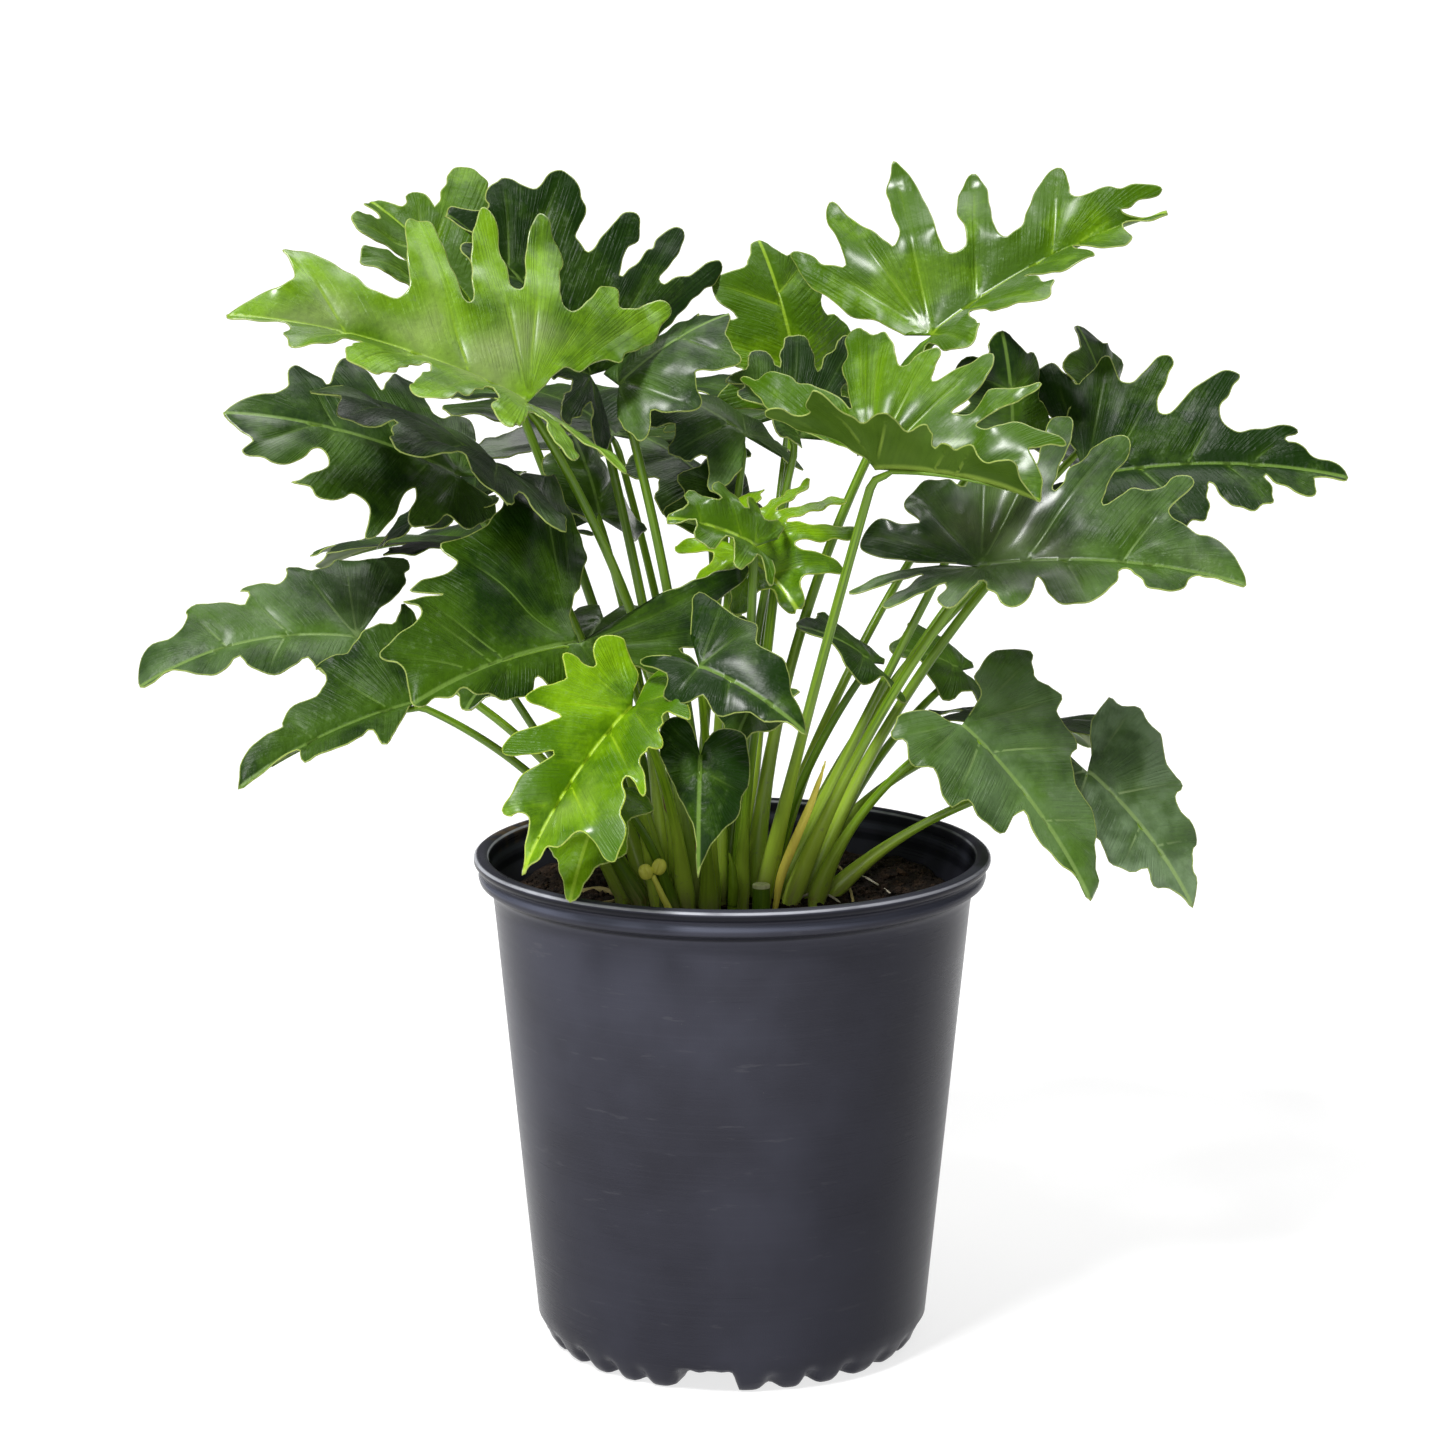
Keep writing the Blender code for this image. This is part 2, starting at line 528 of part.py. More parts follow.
def tube(name, path, collection, material, sides=STALK_SIDES):
    """A round bar along a path of (place, radius), closed at both ends, as a mesh."""
    curve = bpy.data.curves.new(name, "CURVE")
    curve.dimensions = "3D"
    curve.bevel_depth = 1.0
    curve.bevel_resolution = (sides - 4) // 2
    curve.use_fill_caps = True
    spline = curve.splines.new("POLY")
    spline.points.add(len(path) - 1)
    for point, (place, radius) in zip(spline.points, path):
        point.co = (*place, 1.0)
        point.radius = radius
    holder = bpy.data.objects.new(name + "_path", curve)
    collection.objects.link(holder)
    bpy.context.view_layer.update()
    depsgraph = bpy.context.evaluated_depsgraph_get()
    mesh = bpy.data.meshes.new_from_object(holder.evaluated_get(depsgraph))
    obj = new_object(name, mesh, collection, material, smooth=True)
    obj.matrix_world = holder.matrix_world.copy()
    bpy.data.objects.remove(holder)
    weld = bmesh.new()
    weld.from_mesh(mesh)
    bmesh.ops.remove_doubles(weld, verts=weld.verts, dist=0.00001)
    bmesh.ops.recalc_face_normals(weld, faces=weld.faces)
    weld.to_mesh(mesh)
    weld.free()
    return obj


def make_leaf(leaf, foot, seed, collection, materials):
    """One leaf: a thin lobed blade and its stalk, joined in one closed solid."""
    material = materials[leaf["tone"]]
    blade = new_object(leaf["name"], blade_mesh(leaf, seed), collection, material)
    solid = blade.modifiers.new("Solidify", "SOLIDIFY")
    solid.thickness = BLADE
    solid.offset = 0.0
    apply_modifiers(blade)
    stalk = tube(leaf["name"] + "_stalk", stalk_path(leaf, foot), collection, material)
    boolean(blade, stalk, "UNION")
    for face in blade.data.polygons:
        face.use_smooth = False
    return blade


def wanted_foot(leaf):
    """Where a leaf's stalk would like to stand: on its own side of the crown, low leaves farthest out."""
    x, y, height = (value * MM for value in leaf["junction"])
    away = Vector((x - CROWN_CENTRE[0], y - leaf["push"] * MM - CROWN_CENTRE[1]))
    slope = away.length / max(height - SOIL_TOP, 0.03)
    return Vector(CROWN_CENTRE) + away.normalized() * (CROWN_SPREAD * min(0.25 + 0.45 * slope, 1.0))


def make_small_pieces(collection, materials):
    """The dry sheath, the cut stub, the young shoot and the stalk with two buds."""
    sink = SOIL_TOP - STEM_SINK
    for name, tone, points in SMALL_STEMS:
        spot = Vector(points[0][0]) * MM
        path = [(Vector((spot.x, spot.y, sink)), points[0][1] * MM)]
        path += [(Vector(place) * MM, radius * MM) for place, radius in points]
        obj = tube(name, path, collection, materials[tone])
        if name == "bud_stalk":
            join_buds(obj, points[-1][0], collection, materials[tone])


def join_buds(obj, place, collection, material):
    """Two round buds joined to the end of their stalk."""
    for number, offset in enumerate(((-3.0, 0.0, 0.5), (2.6, 0.5, 2.0))):
        centre = (Vector(place) + Vector(offset)) * MM
        bpy.ops.mesh.primitive_ico_sphere_add(subdivisions=1, radius=BUD_RADIUS, location=centre)
        bud = bpy.context.object
        bud.name = "bud_%d" % number
        boolean(obj, bud, "UNION")


def main():
    for obj in list(bpy.data.objects):
        bpy.data.objects.remove(obj)
    plant = bpy.data.collections.new("potted_philodendron")
    cutters = bpy.data.collections.new("cutters")
    for collection in (plant, cutters):
        bpy.context.scene.collection.children.link(collection)
    cutters.hide_render = True
    materials = {
        "pot_plastic": new_material("pot_plastic", (0.012, 0.012, 0.015), 0.42),
        "potting_soil": new_material("potting_soil", (0.014, 0.008, 0.005), 0.95),
        "leaf_dark": new_material("leaf_dark", (0.022, 0.085, 0.018), 0.32),
        "leaf_bright": new_material("leaf_bright", (0.08, 0.22, 0.02), 0.35),
        "leaf_lime": new_material("leaf_lime", (0.19, 0.42, 0.02), 0.35),
        "dry_sheath": new_material("dry_sheath", (0.65, 0.48, 0.12), 0.6),
    }
    fixed = [Vector(points[0][0][:2]) * MM for _, _, points in SMALL_STEMS]
    feet = spread_feet(fixed + [wanted_foot(leaf) for leaf in LEAVES], len(fixed))
    make_pot(plant, materials["pot_plastic"])
    holes = [(foot.x, foot.y, points[0][1] * MM) for foot, (_, _, points) in zip(feet, SMALL_STEMS)]
    holes += [(foot.x, foot.y, STALK_FOOT) for foot in feet[len(fixed):]]
    make_soil(plant, cutters, materials["potting_soil"], holes)
    make_small_pieces(plant, materials)
    for number, (leaf, foot) in enumerate(zip(LEAVES, feet[len(fixed):])):
        make_leaf(leaf, foot, number + 1, plant, materials)


main()
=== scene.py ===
"""Potted lacy tree philodendron: fine leaves, stalks, pot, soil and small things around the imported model.

Metres, Z up. The origin is the middle of the pot's underside on the floor, and the photo looks along +Y.
"""
import math
import random

import bmesh
import bpy
import numpy as np
from mathutils import Euler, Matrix, Vector, geometry, noise

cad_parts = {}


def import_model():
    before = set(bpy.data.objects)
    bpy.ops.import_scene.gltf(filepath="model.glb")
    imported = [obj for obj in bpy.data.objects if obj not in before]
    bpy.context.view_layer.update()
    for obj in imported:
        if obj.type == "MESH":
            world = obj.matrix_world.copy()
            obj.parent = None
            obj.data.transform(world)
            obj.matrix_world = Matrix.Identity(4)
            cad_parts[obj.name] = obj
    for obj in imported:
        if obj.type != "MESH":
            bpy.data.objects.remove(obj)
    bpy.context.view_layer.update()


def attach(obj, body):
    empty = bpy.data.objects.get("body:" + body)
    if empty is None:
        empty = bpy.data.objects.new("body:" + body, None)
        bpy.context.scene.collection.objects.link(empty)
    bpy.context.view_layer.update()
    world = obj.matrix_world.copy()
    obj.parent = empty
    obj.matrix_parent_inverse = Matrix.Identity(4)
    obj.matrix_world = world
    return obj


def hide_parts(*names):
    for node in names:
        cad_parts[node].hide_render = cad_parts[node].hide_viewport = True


MM = 0.001

# Pot and soil: the part's own measures
POT_HEIGHT = 0.247
RIM_RADIUS = 0.127
BODY_TOP_RADIUS = 0.117
BODY_FOOT_RADIUS = 0.0955
FOOT_RADIUS = 0.0885
WALL = 0.002
WALL_DROP = 0.024
NOTCH_LIFT = 0.009
NOTCH_START = math.radians(-98)
FLOOR_LIFT = 0.006
PAD_RADIUS = 0.040
SOIL_TOP = 0.2225
SOIL_GAP = 0.0003
SOIL_SWELL = 0.003
SOIL_WAVE = 0.030
STEM_SINK = 0.016

# Pot: its finer edges. Rim points as (inset from the rim's radius, drop from the top)
POT_STEPS = 336
POT_NOTCHES = 4
NOTCH_HALF = 0.13
NOTCH_SLOPE = 0.05
NOTCH_PART = 1.30
FOOT_RING = 0.005
FOOT_INNER = 0.013
LUGS = 28
LUG_HEIGHT = 0.013
LUG_PINCH = 0.0032
LUG_RISE = 0.0026
RIM_SWAY = 0.0004
SWAY_FROM = 0.15
SWAY_SPAN = 0.09
WOBBLE_STEP = 0.8
POT_SEED = 11
RIM_PROFILE = (
    (0.0078, 0.0025), (0.0068, 0.0006), (0.0045, 0.0), (0.0016, 0.0006), (0.0003, 0.0017),
    (0.0002, 0.0034), (0.0014, 0.0050), (0.0040, 0.0062), (0.0042, 0.0074), (0.0030, 0.0090),
    (0.0024, 0.0108), (0.0030, 0.0128), (0.0052, 0.0142), (0.0076, 0.0156), (0.0092, 0.0190),
)
RIM_INSIDE = ((0.0105, 0.0190), (0.0092, 0.0160), (0.0084, 0.0080))

# Soil: the fine top, and what is strewn on it as name, material, density, size range, flatness and seed
SOIL_RINGS = 44
SOIL_STEPS = 168
SOIL_LUMPS = ((70, 0.0024), (230, 0.0012))
CRUMB_EDGE = 0.004
CRUMB_SHAPE = ((0.6, 0.6, 0.5), (1.4, 1.0, 1.0))
CRUMB_TURN = ((-0.7, -0.7, -3.1), (0.7, 0.7, 3.1))
CRUMB_POWER = 3.0
GRIT_SCALE = 420.0
GRIT = 0.0022
STREWN = (
    ("soil_crumbs", "soil", 95000.0, 0.0005, 0.0030, 1.0, 1),
    ("soil_bark", "bark", 9000.0, 0.0012, 0.0052, 0.4, 2),
)

# Crown and stalks: the part's own rule, and finer stalks
CROWN_CENTRE = (-0.006, -0.006)
CROWN_SPREAD = 0.046
CROWN_SPACING = 0.0126
CROWN_ROUNDS = 400
CROWN_PLAY = 0.00002
CROWN_LOW = 0.03
CROWN_NEAR = 0.25
CROWN_SLOPE = 0.45
STALK_FOOT = 0.0052
STALK_SWELL = 2.6
STALK_TAPER = 0.0008
STALK_RISE = 0.004
STALK_UNDER = 0.0016
STALK_BASE = 0.0046
STALK_FINE = 0.0021
STALK_PLAIN = 0.86
STALK_ON = 0.012
STALK_POINTS = 26
STALK_SIDES = 14

# Blades: the part's rule for lobes
VEIN_SLANT = math.radians(62)
TIP_ROOT = 0.72
TIP_CUT = 0.6
ROOT_STEP = 0.86
REAR_TURN = 20.0
REAR_LIMIT = 172.0
REAR_END = 0.52
REAR_SWELL = 1.12

# Blades: the fine surface
BLADE_THICK = 0.0006
RIM_STEPS = 8
SWAY_STEP = 0.016
RIPPLE_STEP = 0.026
RIPPLE_EASE = 0.020
SWELL_EASE = 0.020
GROOVE = 0.00045
GROOVE_WIDTH = 0.0014
RIB_GROOVE = 0.0007
RIB_WIDTH = 0.0018
PUFF = 0.0025
PUFF_REACH = 0.014
WAVE_REACH = 0.003
FOLD_REACH = 0.010
MARGIN_EASE = 0.012
SPINE_FROM = 0.002
SPINE_CLEAR = 0.0004
LOBE_SIDE = ((0.90, 0.46, -0.35), (0.55, 0.70, 0.05), (0.14, 0.88, 0.70))
FULL_CUT = 0.38
SPREAD = 0.22
SINUS_WAVE = 1.0
TIP_WAVE = -0.6
CURL_CHANCE = 1.0
EDGE_SWAY = 0.0009
DRAWN_SWAY = 0.0003
RIPPLE = 0.0012
SWELL = 0.0022
SWELL_SPAN = (0.045, 0.100)
RIB_START = 0.1
RIB_REACH = 0.8
RIB_POINTS = 10
RIB_THICK = 0.0013
RIB_TAPER = 0.75
RIB_SINK = 0.85
RIB_STEP = 0.0025
VEIN_STEP = 0.0030
VEIN_SPACING = 0.022
RIB_ROWS = (0.0016, 0.0040)
FINE_ROWS = (0.0, 0.0014, -0.0014, 0.0032, -0.0032)
PLAIN_ROWS = (0.0, 0.0016, -0.0016)
MARGIN_ROWS = (0.0009, 0.0026, 0.0055)
FINE_STEPS = (0.0018, 0.0042)
PLAIN_STEPS = (0.0028, 0.0062)
RIM_CLEAR = (0.8, 0.5)
ROW_CLEAR = (0.0012, 0.0010)
FIELD_CLEAR = (0.45, 0.55)
FIELD_ROWS = 0.866
LIFT_SPAN = 0.085
NO_VEIN = 1.0
LAST_ASIDE = -0.03
REAR_WAVES = (0.2, 0.3)

# How near two points are to be merged into one
BLADE_WELD = 0.00003
BLADE_SLIVER = 0.000005
STEM_WELD = 0.000005
SHELL_WELD = 0.00001

# Studio
CAMERA_PLACE = (-0.0047, -2.0, 0.709)
CAMERA_DOWN = 11.26
FOCAL_PIXELS = 4179
PHOTO_PIXELS = 1445

# The search for the flat place of a point in the photo, in pixels and metres
SEARCH_STEPS = 40
SEARCH_NEAR = 0.05
SEARCH_NUDGE = 0.0005
SEARCH_REACH = 0.012
SEARCH_BELOW = -0.008
STRAY_COST = 20.0
NEXT_ASIDE = 0.010
MIDDLE_ASIDE = 0.030
REAR_ASIDE = 0.040

# The camera's sensor, the lights and the floor
SENSOR = 36.0
LIGHT_AIM = (0, 0, 0.32)
FLOOR_REACH = 40.0
FLOOR_SIDES = 64
FLOOR_DROP = 0.0002
WHITE = (1.0, 1.0, 1.0, 1.0)
WORLD_STRENGTH = 0.10
SUNS = (
    ("key_light", (-0.40, -0.60, 1.0), 12, 3.6),
    ("far_light", (0.50, 0.45, 1.0), 50, 0.9),
)
SOFT_BOXES = (
    ("left_soft_box", (-1.6, -1.5, 1.3), (1.4, 1.6), 4.5),
    ("right_soft_box", (1.9, -0.6, 1.1), (1.0, 1.6), 1.5),
    ("top_soft_box", (-0.1, 0.7, 2.0), (1.4, 1.0), 13.0),
    ("front_soft_box", (-0.3, -2.3, 0.75), (1.0, 0.9), 9.0),
)

# Finer shape of some leaves: lobe width, height of the waves in mm, curl and lobes of a half blade,
# lift of its rear lobes in m, and the skin where it isn't the tone's own
DETAIL = {
    "leaf_01": {"finger": 0.9, "ruffle": 3.0, "curl": {"left": -0.06}},
    "leaf_10": {"left": ((20, 52), (50, 30), (100, 26), (138, 62), (155, 90), (172, 92)), "lift": 0.034},
    "leaf_13": {"left": ((26, 42), (70, 28)), "right": ((26, 42), (70, 28)), "skin": "leaf_bright"},
    "leaf_19": {"ruffle": 3.0},
    "leaf_17": {"finger": 0.8, "ruffle": 7.0},
    "leaf_42": {"finger": 0.8, "ruffle": 6.0, "skin": "leaf_bright"},
}

# Brightness, greyness and shine of each leaf; shine above 1 also lays painted pale sheen on a leaf's middle
PLAIN_LOOKS = (0.50, 0.00, 0.80)
LOOKS = {
    "leaf_01": (0.68, 0.00, 1.45), "leaf_02": (0.12, 0.03, 0.40), "leaf_03": (0.00, 0.00, 0.30),
    "leaf_04": (0.55, 0.06, 0.50), "leaf_05": (0.40, 0.06, 1.00), "leaf_06": (0.45, 0.13, 0.30),
    "leaf_07": (0.40, 0.06, 0.30), "leaf_08": (0.70, 0.24, 0.30), "leaf_09": (0.40, 0.04, 0.90),
    "leaf_10": (0.42, 0.00, 0.90), "leaf_12": (0.30, 0.00, 1.30), "leaf_13": (0.35, 0.00, 0.40),
    "leaf_14": (0.02, 0.00, 0.05), "leaf_15": (0.05, 0.00, 0.35), "leaf_17": (0.50, 0.00, 1.20),
    "leaf_19": (0.08, 0.00, 0.80), "leaf_20": (0.05, 0.00, 0.40), "leaf_21": (0.05, 0.00, 0.70),
    "leaf_22": (0.30, 0.06, 0.40), "leaf_23": (0.00, 0.00, 0.20), "leaf_24": (0.62, 0.10, 1.20),
    "leaf_27": (0.95, 0.28, 0.70), "leaf_28": (0.80, 0.62, 0.60), "leaf_29": (0.70, 0.00, 0.30),
    "leaf_30": (0.95, 0.03, 0.30), "leaf_31": (0.50, 0.17, 0.20), "leaf_32": (0.50, 0.12, 0.20),
    "leaf_42": (0.10, 0.00, 0.60),
}

# Colours. A leaf tone has a top as (deep, light, margin, veins, roughness), and an underside as
# (deep, light, margin, veins)
EDGE = (0.330, 0.410, 0.100)
# A greyer green that a leaf's greyness lays on in blotches
GREYED_GREEN = (0.175, 0.255, 0.140)
GREY_NERVE = (0.300, 0.400, 0.180)
LEAF_TONES = {
    "leaf_dark": (
        ((0.007, 0.026, 0.001), (0.050, 0.118, 0.003), EDGE, (0.125, 0.220, 0.035), 0.38),
        ((0.032, 0.062, 0.010), (0.070, 0.115, 0.030), EDGE, (0.125, 0.165, 0.055))),
    "leaf_bright": (
        ((0.048, 0.118, 0.001), (0.165, 0.330, 0.002), EDGE, (0.260, 0.420, 0.025), 0.36),
        ((0.036, 0.082, 0.004), (0.078, 0.148, 0.012), EDGE, (0.200, 0.300, 0.040))),
    "leaf_lime": (
        ((0.060, 0.150, 0.001), (0.225, 0.430, 0.002), (0.430, 0.540, 0.070), (0.340, 0.520, 0.020), 0.30),
        ((0.120, 0.215, 0.006), (0.210, 0.330, 0.020), EDGE, (0.300, 0.400, 0.050))),
}

# Soil as name, dark, brown and pale; dry things as name, pale, brown and roughness
SOIL_SKINS = {
    "soil": ("potting_soil_crumbs", (0.010, 0.0065, 0.0045), (0.040, 0.024, 0.015), (0.130, 0.095, 0.065)),
    "bark": ("bark_bits", (0.022, 0.012, 0.007), (0.070, 0.040, 0.022), (0.170, 0.120, 0.080)),
}
DRY_SKINS = {
    "sheath": ("dry_sheath_skin", (0.950, 0.840, 0.110), (0.850, 0.680, 0.080), 0.6),
    "root": ("root_skin", (0.460, 0.380, 0.150), (0.230, 0.150, 0.060), 0.7),
    "pale_root": ("pale_root_skin", (0.640, 0.580, 0.460), (0.250, 0.190, 0.130), 0.7),
    "scrap": ("dry_scrap_skin", (0.150, 0.065, 0.045), (0.050, 0.025, 0.018), 0.7),
    "bud": ("bud_skin", (0.840, 0.860, 0.110), (0.700, 0.690, 0.080), 0.45),
    "cut": ("cut_end_skin", (0.600, 0.640, 0.330), (0.360, 0.380, 0.130), 0.6),
}

# Margins read in the photo, tip to rear: each point's pixels across and down, with 1 added at a
# lobe's tip and -1 in a sinus
SEEN_MARGINS = {
    "leaf_01": {
        "right": ((250, 299), (268, 291), (280, 288), (290, 283, -1), (294, 279), (293, 268), (287, 256),
            (283, 250), (292, 247, 1), (310, 249), (330, 260), (350, 272), (370, 290), (385, 298),
            (397, 299, -1), (408, 291), (407, 280), (405, 260), (405, 240), (405, 226), (410, 219),
            (418, 220, 1), (428, 220), (435, 232), (442, 248), (450, 270), (457, 288), (463, 303),
            (467, 308, -1), (471, 303), (471, 285), (471, 260), (472, 240), (474, 225), (482, 209, 1),
            (490, 214), (496, 226), (500, 240), (501, 255), (509, 268), (510, 285), (518, 291, -1),
            (524, 284), (526, 265), (527, 245), (530, 228), (539, 214, 1), (548, 221), (553, 236),
            (562, 250), (562, 265), (559, 280), (558, 298), (561, 310), (568, 316, -1), (577, 314),
            (586, 303), (597, 291), (608, 285, 1), (616, 290), (617, 303), (617, 312, -1), (635, 311),
            (650, 303), (668, 301, 1), (673, 307), (673, 313), (662, 325), (655, 338), (640, 348),
            (625, 357), (618, 364, -1), (605, 362), (590, 368), (580, 371), (567, 369), (555, 376),
            (545, 385), (535, 394)),
    },
    "leaf_03": {
        "right": ((450, 207), (462, 209), (475, 212), (485, 212, -1), (488, 207), (484, 202), (485, 193),
            (490, 186), (497, 181), (504, 176, 1), (512, 178), (520, 183), (528, 187), (535, 189, -1),
            (541, 184), (547, 176), (553, 172), (561, 170, 1), (569, 173), (575, 180), (579, 189),
            (580, 197), (586, 207), (584, 218), (579, 227), (576, 235), (579, 242), (586, 253, -1),
            (595, 247), (601, 239), (608, 231), (614, 222), (621, 214), (628, 211), (636, 212, 1),
            (640, 216), (640, 227), (638, 241), (628, 248), (623, 253), (621, 266), (619, 278, -1),
            (626, 274), (633, 267), (641, 258), (646, 250), (652, 249), (657, 240), (663, 233), (671, 227),
            (678, 225, 1), (684, 229), (685, 237), (681, 249), (676, 258), (669, 267), (661, 276),
            (658, 281, -1), (661, 285), (671, 281), (680, 278), (690, 276), (700, 268), (710, 262),
            (719, 260, 1), (723, 265), (721, 273), (715, 283), (704, 290), (695, 298), (688, 305),
            (681, 313), (665, 330), (640, 350), (610, 368)),
    },
    "leaf_05": {
        "left": ((230, 422), (240, 431), (250, 440), (252, 443, -1), (247, 446), (241, 450, 1), (244, 454),
            (252, 457), (263, 460), (272, 464), (284, 466), (295, 463), (304, 458), (311, 453), (318, 451),
            (325, 455, -1), (329, 463), (328, 468), (321, 471), (308, 477), (298, 482), (289, 485, 1),
            (300, 488), (308, 492), (314, 499), (323, 504), (332, 505), (341, 503), (348, 499, -1),
            (354, 498)),
        "right": ((231, 406), (244, 400), (259, 397), (272, 397, -1), (280, 393), (286, 388), (287, 380),
            (287, 373), (291, 368), (297, 366, 1), (305, 368), (314, 374)),
    },
    "leaf_08": {
        "right": ((138, 680), (139, 665), (143, 655), (150, 645), (158, 643), (170, 640), (181, 632),
            (187, 625), (188, 619, -1), (185, 613, 1), (190, 609), (205, 605), (220, 604), (230, 605),
            (238, 608), (244, 607), (248, 602), (250, 598, -1), (245, 594), (239, 590, 1), (247, 586),
            (260, 586), (270, 587), (278, 588, -1), (283, 585), (286, 578), (287, 572), (290, 569),
            (297, 567, 1), (302, 570), (310, 575), (315, 575, -1), (322, 573), (330, 567), (338, 562),
            (345, 560, 1), (350, 561), (358, 563, -1), (365, 562), (372, 561), (380, 557), (388, 554),
            (397, 552, 1), (405, 554), (409, 558), (408, 565), (405, 573), (405, 580), (403, 585),
            (398, 592), (380, 610)),
    },
    "leaf_09": {
        "left": ((244, 782), (250, 775), (256, 769), (264, 764), (272, 761), (285, 759), (295, 756),
            (300, 757, -1), (302, 762), (307, 765, 1), (315, 762), (325, 757), (337, 751), (350, 748),
            (358, 745), (364, 738), (367, 733), (371, 731, -1), (376, 735), (380, 741), (383, 742, 1),
            (388, 739), (395, 729), (402, 718), (409, 708)),
        "right": ((239, 778), (242, 765), (246, 755), (250, 749), (258, 742), (265, 737), (275, 733),
            (283, 730), (283, 727, -1), (281, 722, 1), (283, 717), (288, 710), (297, 704), (307, 700),
            (316, 697), (322, 691), (326, 683, -1), (325, 675), (322, 670), (319, 667), (315, 666, 1),
            (322, 660), (332, 657), (345, 653), (352, 646), (358, 640), (362, 633), (370, 629), (380, 627),
            (390, 627), (395, 624, -1), (398, 616), (401, 608), (404, 602, 1), (415, 615), (420, 640),
            (420, 665), (418, 690)),
    },
    "leaf_10": {
        "right": ((410, 680), (405, 669), (397, 663), (388, 660), (383, 653, 1), (386, 645), (394, 637),
            (405, 630), (414, 622), (420, 614, -1), (418, 607), (411, 603), (404, 601, 1), (415, 599),
            (430, 598), (443, 597, -1), (430, 595), (417, 594), (410, 591, 1), (413, 586), (421, 582),
            (433, 579), (446, 573), (456, 565, -1), (450, 557), (444, 551), (442, 545, 1), (448, 540),
            (465, 536), (480, 530), (490, 520), (499, 508, -1), (506, 497), (512, 488), (515, 480),
            (522, 474), (530, 470, 1), (545, 478, -1), (555, 472, 1), (560, 485), (566, 503), (576, 522),
            (585, 537), (588, 555), (585, 570), (583, 583), (576, 596), (573, 610), (574, 625), (577, 634)),
    },
    "leaf_12": {
        "left": ((527, 866), (540, 858), (550, 851), (560, 849), (570, 843), (580, 837), (588, 835, -1),
            (594, 840), (599, 850), (605, 857), (610, 859, 1), (617, 852), (622, 840), (625, 825),
            (624, 813), (628, 803), (629, 797), (626, 788), (631, 781, -1), (636, 784), (640, 793),
            (646, 798, 1), (648, 795), (649, 785), (645, 775), (642, 765), (645, 760), (650, 755, -1),
            (651, 750), (656, 750), (661, 748, 1), (662, 740), (662, 730), (666, 726), (667, 720),
            (671, 716, -1), (680, 718), (690, 721, 1), (692, 715), (690, 706), (688, 698), (692, 696, -1),
            (705, 692), (709, 686, 1), (706, 676), (702, 670), (693, 667), (680, 669), (668, 665),
            (655, 668), (648, 676), (643, 688), (634, 704)),
        "right": ((526, 855), (525, 845), (527, 830), (526, 818, -1), (517, 814), (510, 817), (504, 812, 1),
            (505, 805), (510, 795), (517, 783), (526, 773), (540, 764), (552, 757), (554, 755, -1),
            (552, 752), (540, 753), (525, 755), (512, 757), (503, 754, 1), (502, 748), (505, 742),
            (515, 733), (525, 729), (540, 725), (552, 720), (561, 717, -1), (560, 713), (550, 710),
            (540, 706), (530, 701), (525, 696, 1), (528, 692), (540, 687), (552, 684), (562, 681),
            (566, 679, -1), (565, 672), (563, 662), (562, 654), (567, 652, 1), (577, 656), (585, 663),
            (592, 666), (595, 665, -1), (595, 655), (594, 645), (600, 636), (612, 634, 1), (625, 637),
            (628, 645), (632, 660), (640, 675), (633, 690)),
    },
    "leaf_14": {
        "left": ((702, 862), (706, 853), (712, 844), (717, 836), (727, 826), (735, 818), (740, 810),
            (741, 800), (743, 793, 1), (748, 788), (750, 778), (750, 765), (749, 750), (747, 737),
            (740, 730, 1), (728, 728), (714, 732), (706, 742)),
        "right": ((699, 862), (697, 845), (694, 828), (688, 815), (683, 805), (678, 795), (674, 785, 1),
            (670, 775), (664, 765), (660, 757), (659, 745), (661, 733), (665, 722, 1), (674, 717),
            (684, 719), (692, 728), (697, 740)),
    },
    "leaf_15": {
        "left": ((800, 705), (793, 695), (790, 680), (787, 668), (785, 660), (779, 658), (768, 652),
            (757, 648, -1), (757, 635), (757, 625, 1), (748, 620), (735, 618), (722, 610, 1), (715, 600),
            (708, 595), (700, 592), (693, 600), (691, 615), (690, 635)),
    },
    "leaf_19": {
        "left": ((1168, 211), (1155, 214), (1140, 219), (1128, 217), (1121, 213, -1), (1130, 210),
            (1140, 203), (1150, 199), (1160, 197), (1162, 191, 1), (1157, 187), (1145, 185), (1133, 188),
            (1120, 191), (1108, 189), (1098, 191), (1088, 197), (1078, 200, -1), (1070, 195), (1068, 185),
            (1066, 174), (1060, 168, 1), (1050, 170), (1040, 181), (1034, 195), (1026, 212), (1020, 228),
            (1013, 237), (1007, 240, -1), (1000, 235), (995, 228), (991, 210), (989, 195), (983, 180),
            (974, 173, 1), (966, 177), (960, 190), (957, 205), (958, 220), (964, 230), (967, 240),
            (966, 250), (955, 257, -1), (946, 254), (938, 242), (935, 228), (930, 212), (923, 196),
            (915, 180), (905, 168), (894, 162, 1), (890, 172), (886, 188), (889, 205), (894, 220),
            (900, 236), (895, 250, -1), (888, 246), (880, 237), (868, 229), (855, 222), (842, 210),
            (831, 202, 1), (826, 210), (828, 225), (835, 236), (842, 250), (846, 268, -1), (838, 267),
            (825, 265), (815, 257), (797, 250, 1), (791, 254), (795, 265), (803, 278), (811, 288),
            (830, 300), (850, 315), (872, 320), (905, 335)),
    },
    "leaf_21": {
        "left": ((1042, 490), (1043, 480), (1040, 468), (1034, 458), (1030, 450, -1), (1037, 447),
            (1050, 445), (1060, 444), (1065, 441, 1), (1060, 436), (1049, 431), (1036, 428), (1021, 423),
            (1010, 422), (1000, 427), (988, 432), (975, 425, -1), (986, 418), (1001, 410), (1017, 401),
